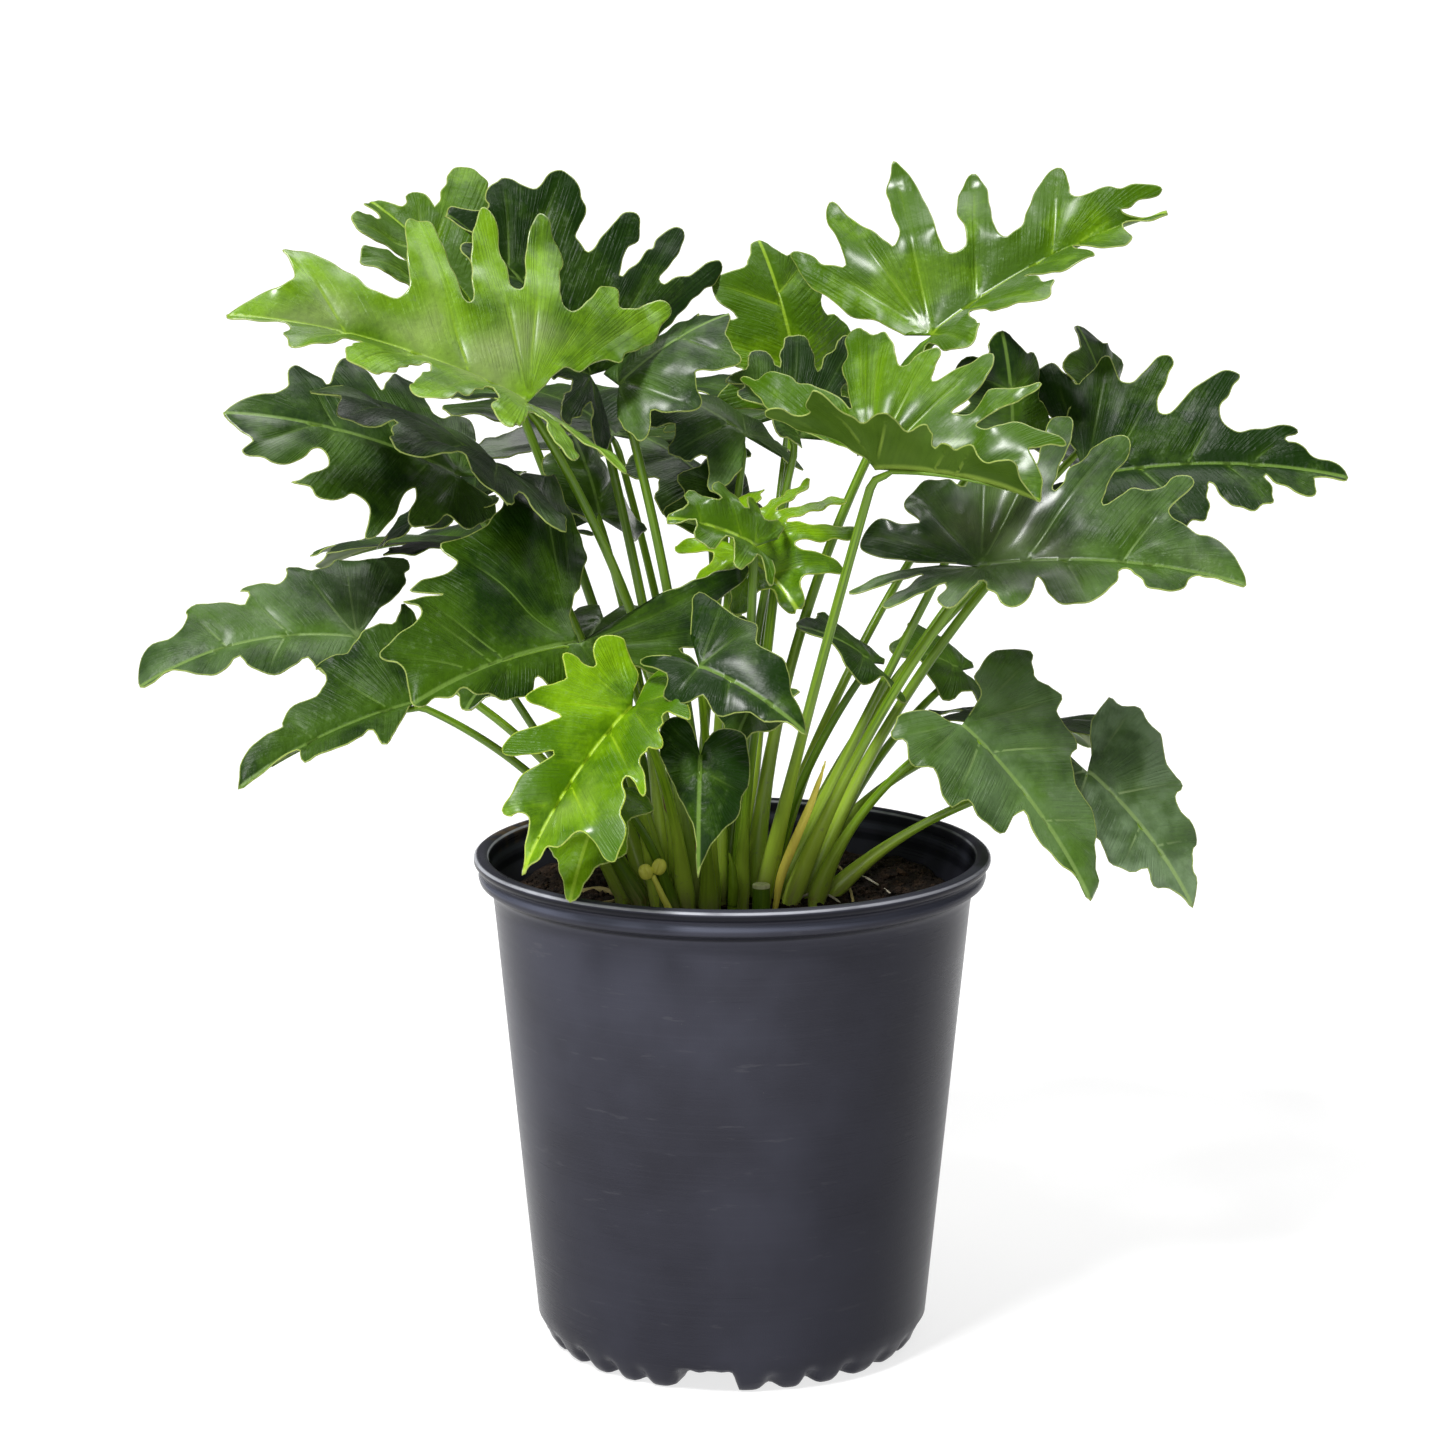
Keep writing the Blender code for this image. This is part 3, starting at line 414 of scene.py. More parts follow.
            (1033, 390), (1042, 383, 1), (1037, 381), (1026, 385), (1010, 387), (998, 387), (988, 390),
            (982, 398), (978, 406), (969, 414), (953, 413, -1), (957, 406), (968, 396), (979, 384),
            (990, 368), (994, 356), (991, 351, 1), (980, 354), (968, 361), (955, 368), (943, 377),
            (933, 381, -1), (935, 367), (939, 351), (936, 345, 1), (928, 349), (917, 357), (908, 366),
            (902, 369, -1), (898, 359), (893, 343), (888, 334), (881, 330, 1), (873, 333), (869, 333, -1),
            (863, 329), (857, 324, 1), (849, 326), (843, 334), (843, 344), (846, 354), (841, 365),
            (845, 375), (848, 388), (850, 399), (856, 415, -1), (840, 400), (812, 385), (800, 384),
            (790, 378), (775, 374), (765, 377), (757, 382), (745, 377), (740, 378, 1), (751, 389),
            (761, 401), (767, 408), (800, 430), (840, 448), (868, 460)),
        "right": ((1022, 478), (1016, 465), (1012, 457), (1000, 455), (990, 457), (978, 455), (970, 450, 1),
            (960, 451), (953, 454, -1), (947, 447, 1), (940, 448), (934, 452, -1), (930, 450), (928, 442),
            (923, 440), (920, 436), (912, 435), (905, 437, -1), (898, 430), (893, 420), (890, 413),
            (886, 410, 1), (880, 413), (870, 420), (860, 427, -1), (850, 418), (836, 404), (823, 395),
            (814, 391, 1), (809, 396), (805, 411), (807, 417, -1), (800, 420), (790, 417), (780, 409),
            (772, 406), (767, 407, 1), (768, 411), (776, 417), (800, 430), (820, 438), (836, 445),
            (851, 451), (863, 459), (871, 464)),
    },
    "leaf_23": {
        "left": ((1345, 470), (1338, 464), (1330, 460), (1318, 458), (1310, 455), (1303, 448), (1296, 444),
            (1288, 443), (1285, 441, -1), (1287, 437), (1292, 435), (1297, 433), (1298, 430, 1),
            (1293, 426), (1285, 425), (1275, 426), (1262, 429), (1250, 431), (1237, 433), (1230, 429),
            (1222, 421), (1219, 413, -1), (1221, 406), (1227, 398), (1234, 388), (1239, 379),
            (1239, 373, 1), (1234, 371), (1224, 371), (1213, 376), (1203, 383), (1192, 392), (1181, 402),
            (1175, 410), (1167, 415), (1159, 414, -1), (1158, 405), (1160, 395), (1165, 384), (1170, 374),
            (1173, 365), (1172, 359, 1), (1168, 357), (1160, 359), (1150, 367), (1141, 376), (1132, 383),
            (1126, 384, -1), (1120, 381), (1117, 372), (1113, 362), (1109, 357, 1), (1103, 358),
            (1096, 366), (1090, 373), (1083, 380), (1078, 383, -1), (1072, 380), (1064, 372), (1057, 364),
            (1052, 361, 1), (1046, 364), (1040, 370, -1), (1033, 370), (1027, 376), (1026, 383, 1),
            (1035, 397), (1050, 415), (1075, 450)),
    },
    "leaf_24": {
        "left": ((1243, 573), (1236, 560), (1228, 549), (1219, 541), (1210, 537), (1198, 536), (1189, 529),
            (1182, 523), (1173, 519), (1170, 513, -1), (1173, 506), (1180, 497), (1189, 489), (1194, 481),
            (1190, 476, 1), (1181, 474), (1172, 476), (1164, 484), (1155, 489), (1145, 491), (1132, 490),
            (1122, 496), (1104, 509, -1), (1102, 504), (1105, 495), (1109, 485), (1114, 475), (1122, 466),
            (1128, 456), (1131, 445), (1128, 438), (1120, 435, 1), (1111, 437), (1102, 443), (1091, 449),
            (1087, 457), (1080, 465), (1071, 472), (1066, 479), (1062, 490), (1056, 496, -1), (1053, 492),
            (1058, 478), (1061, 466), (1068, 453), (1071, 440), (1073, 427), (1071, 417), (1064, 415, 1),
            (1055, 417), (1049, 422), (1045, 440), (1040, 455), (1035, 470, -1)),
    },
    "leaf_27": {
        "left": ((1097, 893), (1099, 880), (1098, 868), (1096, 855), (1096, 845), (1098, 832),
            (1098, 818, 1), (1094, 804), (1085, 795), (1078, 785), (1074, 775), (1073, 762),
            (1072, 755, -1), (1076, 750), (1082, 744, 1), (1080, 738), (1075, 733), (1068, 725),
            (1060, 717), (1057, 712, -1), (1060, 705), (1063, 698, 1), (1061, 692), (1055, 690),
            (1048, 686), (1040, 682), (1033, 679), (1031, 672, -1), (1031, 663), (1033, 656, 1),
            (1030, 651), (1022, 649), (1012, 650), (1000, 648, 1), (993, 652), (985, 660), (979, 668),
            (977, 676), (979, 685), (980, 695), (975, 705), (968, 715)),
        "right": ((1090, 893), (1086, 886), (1080, 880), (1072, 873), (1062, 869), (1056, 862), (1050, 852),
            (1040, 842), (1033, 831), (1028, 820), (1024, 812, -1), (1018, 812), (1014, 815), (1012, 822),
            (1009, 829, 1), (1003, 831), (995, 828), (985, 821), (977, 813), (970, 804), (964, 801, -1),
            (958, 803), (952, 808, 1), (947, 805), (943, 796), (940, 788), (935, 778), (930, 770),
            (924, 768, -1), (914, 767, 1), (908, 760), (906, 748), (904, 741, -1), (900, 739),
            (893, 739, 1), (892, 735), (893, 730), (895, 725), (898, 717), (908, 713), (922, 711),
            (935, 713), (945, 720), (952, 723)),
    },
    "leaf_28": {
        "left": ((1196, 898), (1197, 885), (1195, 878), (1192, 870), (1191, 860), (1192, 852, -1),
            (1196, 846), (1197, 840, 1), (1195, 830), (1190, 822), (1183, 815), (1176, 808),
            (1173, 800, -1), (1175, 793), (1181, 788), (1183, 782, 1), (1178, 776), (1170, 770),
            (1165, 765), (1163, 755), (1162, 743, -1), (1160, 735), (1155, 730), (1149, 725), (1145, 718),
            (1142, 710), (1138, 707), (1134, 705, 1), (1128, 706), (1120, 703), (1112, 696, 1), (1105, 703),
            (1097, 711), (1093, 720), (1090, 730), (1091, 742), (1091, 755)),
    },
}

# Rear ends of margins, drawn where the photo shows them badly: mm along the midrib and across it
DRAWN_MARGINS = {
    "leaf_05": {
        "left": ((50, 40), (47, 43), (46, 50), (46, 57, 1), (42, 56), (37, 50), (33, 42), (31, 34),
            (28, 27), (24, 23, -1), (24, 30), (26, 38), (26, 43), (24, 46, 1), (19, 44), (14, 40), (10, 36),
            (7, 32, -1), (2, 33), (-3, 33), (-9, 28), (-17, 18), (-22, 11, 1), (-21, 4), (-14, 2), (-5, 2)),
        "right": ((73, 31), (71, 26, -1), (68, 31), (66, 40), (63, 50), (58, 54, 1), (51, 50), (46, 42),
            (42, 34, -1), (39, 42), (34, 52), (27, 55, 1), (20, 50), (17, 40), (15, 31, -1), (8, 34),
            (0, 42), (-8, 44, 1), (-11, 36), (-9, 26), (-7, 20, -1), (-13, 23), (-21, 22, 1), (-20, 14),
            (-10, 5)),
    },
    "leaf_24": {
        "left": ((10, 62), (4, 70), (-6, 72, 1), (-12, 64), (-13, 54), (-13, 44, -1), (-22, 50), (-34, 52),
            (-40, 47, 1), (-42, 38), (-36, 31), (-32, 26, -1), (-42, 28), (-54, 32), (-60, 27, 1),
            (-60, 18), (-50, 11), (-34, 6), (-12, 2)),
    },
}


def fan(count, length, rear=125.0, shrink=0.34):
    """Lobes of a half blade by rule, tip to rear: angle from the midrib in degrees and reach in mm."""
    lobes = []
    for k in range(count):
        part = (k + 0.6) / (count - 0.4)
        lobes.append((12 + (rear - 12) * part, length * (0.95 - shrink * part ** 0.8)))
    return tuple(lobes)


def card(name, junction, tip, lean, left, right, cut=0.42, arch=0.05, curl=0.12, ruffle=2.5, bow=0.3,
         tone="leaf_dark", fine=True, push=0):
    """One leaf: places and reaches in mm, angles in degrees; lean lifts the left and right half blades.
    A leaf that is not fine has plainer lobes; push moves a blade back to clear its neighbours."""
    key = name[:7]
    return dict(name=name, junction=(junction[0], junction[1] + push, junction[2]),
                tip=(tip[0], tip[1] + push, tip[2]), lean=lean, left=left, right=right, cut=cut,
                arch=arch, curl=curl, ruffle=ruffle, bow=bow, tone=tone, fine=fine, push=push,
                detail=DETAIL.get(key, {}), seen=SEEN_MARGINS.get(key, {}), drawn=DRAWN_MARGINS.get(key, {}),
                looks=LOOKS.get(key, PLAIN_LOOKS))


LEAVES = (
    card("leaf_01_upper_left", (-96, -30, 474), (-234, -50, 517), (-8, 55),
         ((16, 118), (33, 104), (52, 90), (78, 78), (108, 64), (146, 60)),
         ((17, 134), (47, 106), (66, 104), (83, 102), (111, 80), (129, 94)), cut=0.56, tone="leaf_bright",
         bow=0.85, push=-18),
    card("leaf_02_upper_left_back", (-121, 80, 494), (-181, 110, 556), (10, 40),
         ((33, 88), (55, 86), (90, 70)), ((14, 84), (32, 96), (60, 84), (95, 66)), cut=0.5,
         tone="leaf_bright"),
    card("leaf_03_upper_middle_back", (-69, 45, 476), (-140, 60, 553), (0, 55), fan(5, 100),
         ((19, 108), (34, 105), (57, 90), (73, 92), (91, 92)), cut=0.5, bow=0.35, push=2),
    card("leaf_04_upper_middle_low", (-55, 5, 476), (-2, 20, 509), (3, -36), ((27, 58), (70, 44)),
         ((29, 60), (60, 44), (105, 36)), cut=0.3, bow=0.65),
    card("leaf_05_left", (-134, -5, 429), (-244, -40, 464), (-45, 40),
         ((12, 102), (28, 86), (50, 72), (84, 58), (118, 50)),
         ((31, 96), (43, 78), (65, 60), (100, 44), (134, 30)), cut=0.38, push=34),
    card("leaf_06_left_above", (-112, -35, 442), (-199, -45, 478), (-4, -4),
         ((22, 84), (50, 74), (88, 62), (132, 56)), ((26, 84), (56, 76), (92, 66), (150, 72)), cut=0.35,
         fine=False, bow=0.4, push=8),
    card("leaf_07_left_behind", (-128, 60, 412), (-178, 75, 386), (0, 20), fan(3, 60), fan(3, 60), cut=0.3,
         fine=False),
    card("leaf_08_far_left", (-185, 30, 348), (-290, 10, 327), (-20, 40),
         ((10, 80), (28, 54), (66, 38), (120, 34)), ((26, 88), (43, 67), (68, 57), (96, 52), (127, 57)),
         cut=0.3, arch=0.09, bow=0.55, fine=False),
    card("leaf_09_low_left", (-153, -20, 325), (-235, -60, 291), (-10, 45),
         ((8, 68), (31, 44), (76, 34), (122, 32)), ((18, 66), (53, 54), (92, 48), (115, 54)), cut=0.28,
         bow=0.5, fine=False),
    card("leaf_10_centre_left", (-72, -60, 365), (-146, -115, 346), (-60, 55),
         ((20, 52), (50, 30), (100, 24), (142, 52), (162, 84), (180, 92)),
         ((15, 100), (35, 86), (58, 82), (96, 88), (112, 88)), cut=0.34, bow=0.45, push=-17),
    card("leaf_11_centre_behind", (-65, 15, 406), (-79, 30, 446), (-20, -20), ((30, 40), (80, 34)),
         ((30, 44), (54, 50), (92, 56)), cut=0.25, fine=False, bow=0.75, push=28),
    card("leaf_12_lime_front", (-47, -95, 339), (-97, -130, 267), (-10, 60),
         ((32, 84), (48, 58), (66, 40), (94, 39), (130, 40)),
         ((15, 80), (36, 66), (60, 52), (93, 42), (120, 38)), cut=0.5, tone="leaf_lime", bow=0.65, push=-7),
    card("leaf_13_small_front", (-59, -90, 292), (-76, -135, 247), (0, 0), ((20, 38), (78, 26)),
         ((30, 44), (78, 28)), cut=0.2, fine=False, bow=0.7, push=28),
    card("leaf_14_uncut_front", (-15, -85, 316), (-16, -105, 263), (0, 0),
         ((33, 35), (63, 30), (108, 26), (150, 24)), ((25, 34), (68, 28), (110, 26), (152, 24)), cut=0.08,
         fine=False, bow=0.45, push=-21),
    card("leaf_15_glossy_centre", (-15, -75, 359), (34, -100, 332), (45, -45),
         ((30, 43), (66, 36), (110, 36), (132, 38)), ((8, 46), (34, 30), (90, 22), (166, 28)), cut=0.25,
         fine=False, bow=0.8, push=-33),
    card("leaf_16_under_glossy", (13, -58, 337), (-1, -85, 312), (0, 0), ((47, 28), (96, 20)),
         ((43, 23), (88, 20)), cut=0.2, fine=False, bow=0.45, push=2),
    card("leaf_17_lime_young", (6, -30, 396), (31, -55, 373), (45, -45),
         ((40, 46), (62, 54), (84, 56), (106, 54), (132, 46)), ((50, 32), (100, 30), (150, 36)), cut=0.55,
         ruffle=4.0, tone="leaf_lime", bow=0.4, push=22),
    card("leaf_18_behind_young", (-2, 30, 399), (-11, 45, 435), (-20, -20), ((27, 38), (62, 34)),
         ((38, 44), (68, 40), (104, 34)), cut=0.25, fine=False, bow=0.55, push=3),
    card("leaf_19_upper_right", (98, 20, 496), (214, 40, 554), (58, 0),
         ((6, 134), (27, 108), (50, 90), (72, 98), (97, 91), (118, 86)),
         ((14, 104), (26, 88), (48, 74), (85, 56), (128, 66)), cut=0.56, tone="leaf_bright", bow=0.85,
         push=27),
    card("leaf_20_backlit", (34, 60, 464), (14, 90, 536), (-10, -10), ((28, 68), (54, 58), (92, 44)),
         ((22, 76), (60, 58), (100, 44)), cut=0.35, tone="leaf_bright", fine=False, bow=0.05, push=27),
    card("leaf_21_right_front", (66, -70, 447), (140, -105, 437), (60, 50),
         ((19, 90), (40, 87), (60, 78), (80, 70), (105, 72), (158, 82)),
         ((22, 60), (45, 44), (72, 44), (118, 52), (150, 56)), cut=0.5, tone="leaf_bright", bow=0.1,
         push=-12),
    card("leaf_22_middle_dark", (33, 0, 448), (-3, 0, 476), (0, 60), ((35, 44), (75, 46)),
         ((28, 48), (55, 52), (85, 64), (120, 48)), cut=0.4, fine=False, bow=0.6, push=25),
    card("leaf_23_far_right", (173, 30, 428), (300, 20, 429), (60, -30),
         ((13, 106), (36, 95), (57, 80), (79, 72), (105, 66), (124, 58)),
         ((8, 112), (19, 92), (42, 68), (82, 52), (125, 46)), cut=0.46, bow=0.4, push=-1),
    card("leaf_24_right_low_front", (118, -40, 395), (241, -65, 390), (55, -20),
         ((30, 110), (49, 98), (68, 90), (95, 72), (130, 62), (156, 66)),
         ((8, 98), (28, 62), (60, 40), (108, 38), (146, 50), (172, 62)), cut=0.5),
    card("leaf_25_right_upright", (136, 15, 449), (131, 25, 500), (-20, -20), ((35, 44), (80, 36)),
         ((35, 46), (80, 38)), cut=0.35, fine=False, bow=0.05, push=-3),
    card("leaf_26_right_under", (176, 55, 408), (229, 60, 393), (10, 0), fan(3, 54), fan(3, 54), cut=0.3,
         fine=False, bow=0.55, push=28),
    card("leaf_27_low_right", (111, -30, 316), (172, -55, 235), (40, -40),
         ((27, 78), (50, 64), (74, 58), (102, 57), (120, 50)),
         ((10, 84), (24, 62), (50, 50), (85, 43), (118, 42)), cut=0.24, bow=0.55, fine=False),
    card("leaf_28_far_low_right", (174, -5, 288), (225, -20, 223), (55, -55),
         ((18, 66), (43, 53), (67, 46), (104, 46), (128, 44)),
         ((8, 68), (24, 52), (62, 36), (116, 38), (166, 54)), cut=0.22, bow=0.35, fine=False),
    card("leaf_29_small_right", (68, 25, 342), (31, 5, 363), (-28, 28), fan(2, 44), fan(2, 44), cut=0.2,
         fine=False, bow=0.45, push=-28),
    card("leaf_30_small_olive", (116, 50, 323), (79, 30, 337), (-28, 28), fan(2, 44), fan(2, 44), cut=0.15,
         fine=False, bow=0.45, push=28),
    card("leaf_31_middle_grey", (7, 20, 449), (-39, 30, 471), (-40, 0), ((25, 50), (50, 40), (92, 36)),
         ((30, 50), (70, 44), (107, 54), (136, 42)), cut=0.3, fine=False, bow=0.7, push=6),
    card("leaf_32_middle_behind", (-11, 50, 420), (-47, 65, 443), (-20, -10), fan(3, 52), fan(3, 52),
         cut=0.3, fine=False, bow=0.45, push=12),
    card("leaf_33_right_behind", (189, 75, 449), (173, 85, 496), (0, 0), fan(3, 50), fan(3, 50), cut=0.35,
         fine=False, bow=0.35, push=1),
    card("leaf_34_low_behind", (-63, -10, 362), (-75, -35, 342), (0, 0), fan(2, 36), fan(2, 36), cut=0.2,
         fine=False, bow=0.75, push=18),
    card("leaf_35_low_left_small", (-113, -30, 341), (-127, -55, 327), (0, 0), fan(2, 32), fan(2, 32),
         cut=0.2, fine=False, bow=0.05, push=5),
    card("leaf_36_back_left", (-60, 130, 436), (-118, 235, 446), (5, 5), fan(4, 115), fan(4, 115),
         fine=False),
    card("leaf_37_back_middle", (30, 140, 446), (62, 255, 450), (5, 5), fan(4, 112), fan(4, 112),
         fine=False),
    card("leaf_38_back_right", (132, 120, 429), (224, 205, 424), (5, 5), fan(4, 112), fan(4, 112),
         fine=False, bow=0.4, push=13),
    card("leaf_39_back_far_left", (-130, 105, 385), (-215, 175, 360), (5, 5), fan(4, 100), fan(4, 100),
         bow=0.5, fine=False),
    card("leaf_40_back_low", (-50, 140, 325), (-85, 225, 290), (5, 5), fan(3, 84), fan(3, 84), cut=0.3,
         bow=0.55, fine=False),
    card("leaf_41_back_low_right", (153, 90, 292), (193, 185, 262), (5, 5), fan(3, 84), fan(3, 84), cut=0.3,
         fine=False, bow=0.6, push=-4),
    card("leaf_42_young_second", (11, -12, 405), (-31, -20, 419), (-30, 50),
         ((30, 32), (70, 24), (120, 22)), ((24, 40), (52, 36), (84, 30), (120, 28)), cut=0.5, ruffle=3.5,
         fine=False, tone="leaf_lime", bow=0.1, push=-28),
)

# Small stems, lowest point first: (place in mm, radius in mm)
SMALL_STEMS = {
    "dry_sheath": (((21, -27, 226), 2.2), ((26, -27, 246), 2.6), ((34, -27, 268), 2.0),
                   ((43, -27, 291), 0.7)),
    "cut_stub": (((14, -38, 226), 4.4), ((14, -38, 238), 4.2)),
    "young_shoot": (((0, -36, 226), 2.4), ((0, -36, 236), 2.0), ((-1, -36, 248), 0.8)),
    "bud_stalk": (((-29, -54, 226), 1.8), ((-34, -54, 238), 1.5), ((-38, -54, 247), 1.2)),
}

# Folded strips along lines of (x, y, z in mm, width part), and the stub's cut end as (z, radius in mm)
SHEATH_BLADE = ((21, -27, 224, 0.5), (23.5, -29, 240, 0.95), (30, -31, 258, 1.0), (37.5, -31, 276, 0.8),
                (43, -28, 291, 0.35), (45, -26, 297, 0.04))
SHOOT_TIP = ((0, -38, 228, 0.9), (0.5, -38.5, 238, 1.0), (0, -38, 247, 0.6), (-1.5, -37, 254, 0.03))
SCRAPS = (
    ((-17, -45, 262, 0.2), (-16, -47, 256, 1.0), (-13, -47, 249, 0.8), (-12, -46, 243, 0.5),
     (-10, -44, 236, 0.2)),
    ((-40, -52, 228, 0.3), (-30, -58, 229, 1.0), (-18, -59, 230, 0.9), (-8, -56, 229, 0.3)),
    ((-36, -8, 290, 0.2), (-34, -10, 282, 0.8), (-33, -9, 274, 0.9), (-31, -8, 266, 0.2)),
    ((6, -50, 228, 0.3), (14, -54, 228, 0.9), (24, -52, 227, 0.6), (32, -48, 227, 0.2)),
)
STRIP_ACROSS = 6
STRIP_THICK = 0.0007
STUB_TOP = ((237.2, 4.25), (238.6, 4.35), (239.0, 3.9))

# Surface roots: name, material, radius in mm and points (x, y, lift above the soil in mm)
ROOTS = (
    ("root_yellow", "root", 1.5,
     ((-74, 24, 0), (-65, 20, 1.6), (-56, 14, 1.2), (-45, -1, 1.5), (-37, -14, 0), (-33, -20, -2))),
    ("root_white", "pale_root", 0.6,
     ((-80, 52, 0), (-66, 57, 1), (-56, 55, 2), (-45, 44, 1), (-34, 30, 0))),
    ("root_arch", "root", 0.9,
     ((30, 38, -1), (40, 46, 3), (47, 48, 7), (53, 39, 8), (57, 14, 4), (59, -14, 1), (59, -24, -2))),
    ("root_right", "pale_root", 0.7,
     ((24, -22, -1), (31, -13, 1.2), (41, -9, 2.2), (50, -15, 1.4), (56, -28, -1))),
    ("root_left_low", "root", 0.8,
     ((-78, -14, -1), (-72, -9, 1), (-60, -1, 1.5), (-53, 5, 1), (-42, 8, -1))),
    ("root_left_thin", "pale_root", 0.4,
     ((-60, 30, 0), (-52, 18, 1.4), (-50, 4, 1.0), (-57, -12, 1.5), (-52, -24, 0))),
    ("root_back", "root", 0.9,
     ((-20, 62, -1), (-8, 74, 1.4), (12, 78, 1.5), (30, 70, 1), (42, 60, -1))),
    ("root_back_right", "pale_root", 0.6,
     ((52, 56, -1), (64, 48, 1.2), (72, 32, 1.4), (80, 20, 0))),
)


# Shader helper
def make_node(tree, kind, settings=None, values=None):
    """Adds a node to a tree: first its settings, then the values or links of its inputs."""
    made = tree.nodes.new(kind)
    for key, value in (settings or {}).items():
        setattr(made, key, value)
    for key, value in (values or {}).items():
        if isinstance(value, Socket):
            value = value.output
        if isinstance(value, bpy.types.NodeSocket):
            tree.links.new(value, made.inputs[key])
        else:
            made.inputs[key].default_value = value
    return made


class Socket:
    """One output of a shader's node; arithmetic on it adds Math nodes to its tree."""

    def __init__(self, shader, output):
        self.shader = shader
        self.output = output

    def math(self, operation, *values):
        return self.shader.node("ShaderNodeMath", {"operation": operation}, dict(enumerate(values)))

    def __add__(self, other):
        return self.math("ADD", self, other)

    def __sub__(self, other):
        return self.math("SUBTRACT", self, other)

    def __rsub__(self, other):
        return self.math("SUBTRACT", other, self)

    def __mul__(self, other):
        return self.math("MULTIPLY", self, other)

    __radd__ = __add__
    __rmul__ = __mul__

    def band(self, low, high, start=0.0, end=1.0):
        """Runs smoothly from start to end while this value goes from low to high."""
        spans = {"From Min": low, "From Max": high, "To Min": start, "To Max": end}
        return self.shader.node("ShaderNodeMapRange", {"interpolation_type": "SMOOTHSTEP"},
                                {"Value": self, **spans})

    def between(self, start, full, fade, end):
        """Rises from start to full and falls again from fade to end."""
        return self.band(start, full) * self.band(fade, end, 1.0, 0.0)


class Shader:
    """A material with one Principled shader, and short ways to the nodes that feed it."""

    def __init__(self, name, colour, roughness, **constants):
        self.material = bpy.data.materials.new(name)
        self.material.use_nodes = True
        self.material.diffuse_color = (*colour, 1.0)
        self.tree = self.material.node_tree
        self.inputs = self.tree.nodes["Principled BSDF"].inputs
        self.inputs["Base Color"].default_value = (*colour, 1.0)
        self.inputs["Roughness"].default_value = roughness
        for key, value in constants.items():
            self.inputs[key.replace("_", " ")].default_value = value

    def node(self, kind, settings=None, values=None, output=0):
        return Socket(self, make_node(self.tree, kind, settings, values).outputs[output])

    def place(self):
        return self.node("ShaderNodeTexCoord", output="Object")

    def place_parts(self):
        """The place's X, Y and Z."""
        first = self.node("ShaderNodeSeparateXYZ", values={"Vector": self.place()})
        return [Socket(self, output) for output in first.output.node.outputs]

    def values(self, *names):
        """Numbers stored on the piece's points."""
        return [self.node("ShaderNodeAttribute", {"attribute_name": name}, output="Fac") for name in names]

    def noise(self, scale, detail=3.0, where=None, rough=0.55, stretch=None):
        where = where or self.place()
        if stretch:
            where = self.node("ShaderNodeMapping", values={"Vector": where, "Scale": stretch})
        return self.node("ShaderNodeTexNoise",
                         values={"Vector": where, "Scale": scale, "Detail": detail, "Roughness": rough})

    def cells(self, scale):
        return self.node("ShaderNodeTexVoronoi", values={"Vector": self.place(), "Scale": scale},
                         output="Distance")

    def mix(self, factor, first, second):
        """Mixes two colours."""
        first, second = (value if isinstance(value, Socket) else (*value, 1.0) for value in (first, second))
        return self.node("ShaderNodeMix", {"data_type": "RGBA"}, {0: factor, 6: first, 7: second}, output=2)

    def coats(self, colour, *coats):
        """Lays colours over a colour one by one, each as (where, colour)."""
        for where, coat in coats:
            colour = self.mix(where, colour, coat)
        return colour

    def feed(self, colour, roughness, height, distance, strength, **others):
        """Feeds the shader, its relief through a bump, and gives the material back."""
        bump = self.node("ShaderNodeBump",
                         values={"Height": height, "Distance": distance, "Strength": strength})
        for key, value in dict(others, Base_Color=colour, Roughness=roughness, Normal=bump).items():
            self.tree.links.new(value.output, self.inputs[key.replace("_", " ")])
        return self.material


# Blades
def blade_frame(leaf):
    """Junction, length, midrib direction, up direction and the two half blades' side directions."""
    junction = Vector(leaf["junction"]) * MM
    along = Vector(leaf["tip"]) * MM - junction
    length = along.length
    along = along / length
    level = Vector((0, 0, 1)).cross(along).normalized()
    up = along.cross(level)
    left, right = (math.radians(angle) for angle in leaf["lean"])
    side_left = level * math.cos(left) + up * math.sin(left)
    side_right = -level * math.cos(right) + up * math.sin(right)
    return junction, length, along, up, side_left, side_right


def flat(angle, reach):
    """A point of a half blade's plane, from an angle in degrees and a reach in mm."""
    return np.array((math.cos(math.radians(angle)), math.sin(math.radians(angle)))) * (reach * MM)


def vein_roots(tips, length):
    """Where the main vein of each lobe leaves the midrib, from the tip to the rear."""
    roots = [TIP_ROOT * length]
    for tip in tips[1:]:
        root = tip[0] - tip[1] / math.tan(VEIN_SLANT)
        roots.append(min(max(root, 0.0), roots[-1] * ROOT_STEP))
    return roots


def lobe_side(sinus, tip, root, cut, finger):
    """Points of one side of a lobe from its tip down to the sinus: (place, wave)."""
    start = np.array((root, 0.0))
    vein = (tip - start) / np.linalg.norm(tip - start)
    low = np.dot(sinus - start, vein)
    high = np.dot(tip - start, vein)
    out = (sinus - start) - vein * low
    strength = min(cut / FULL_CUT, 1.0)
    points = []
    for part, width, wave in LOBE_SIDE:
        station = low + (high - low) * part
        widen = 1 + SPREAD * (station / max(low, 0.2 * high) - 1) * strength
        straight = (1 - part) ** 0.8
        share = straight * (1 - strength) + width * finger * widen * strength
        points.append((start + vein * station + out * share, wave))
    return points


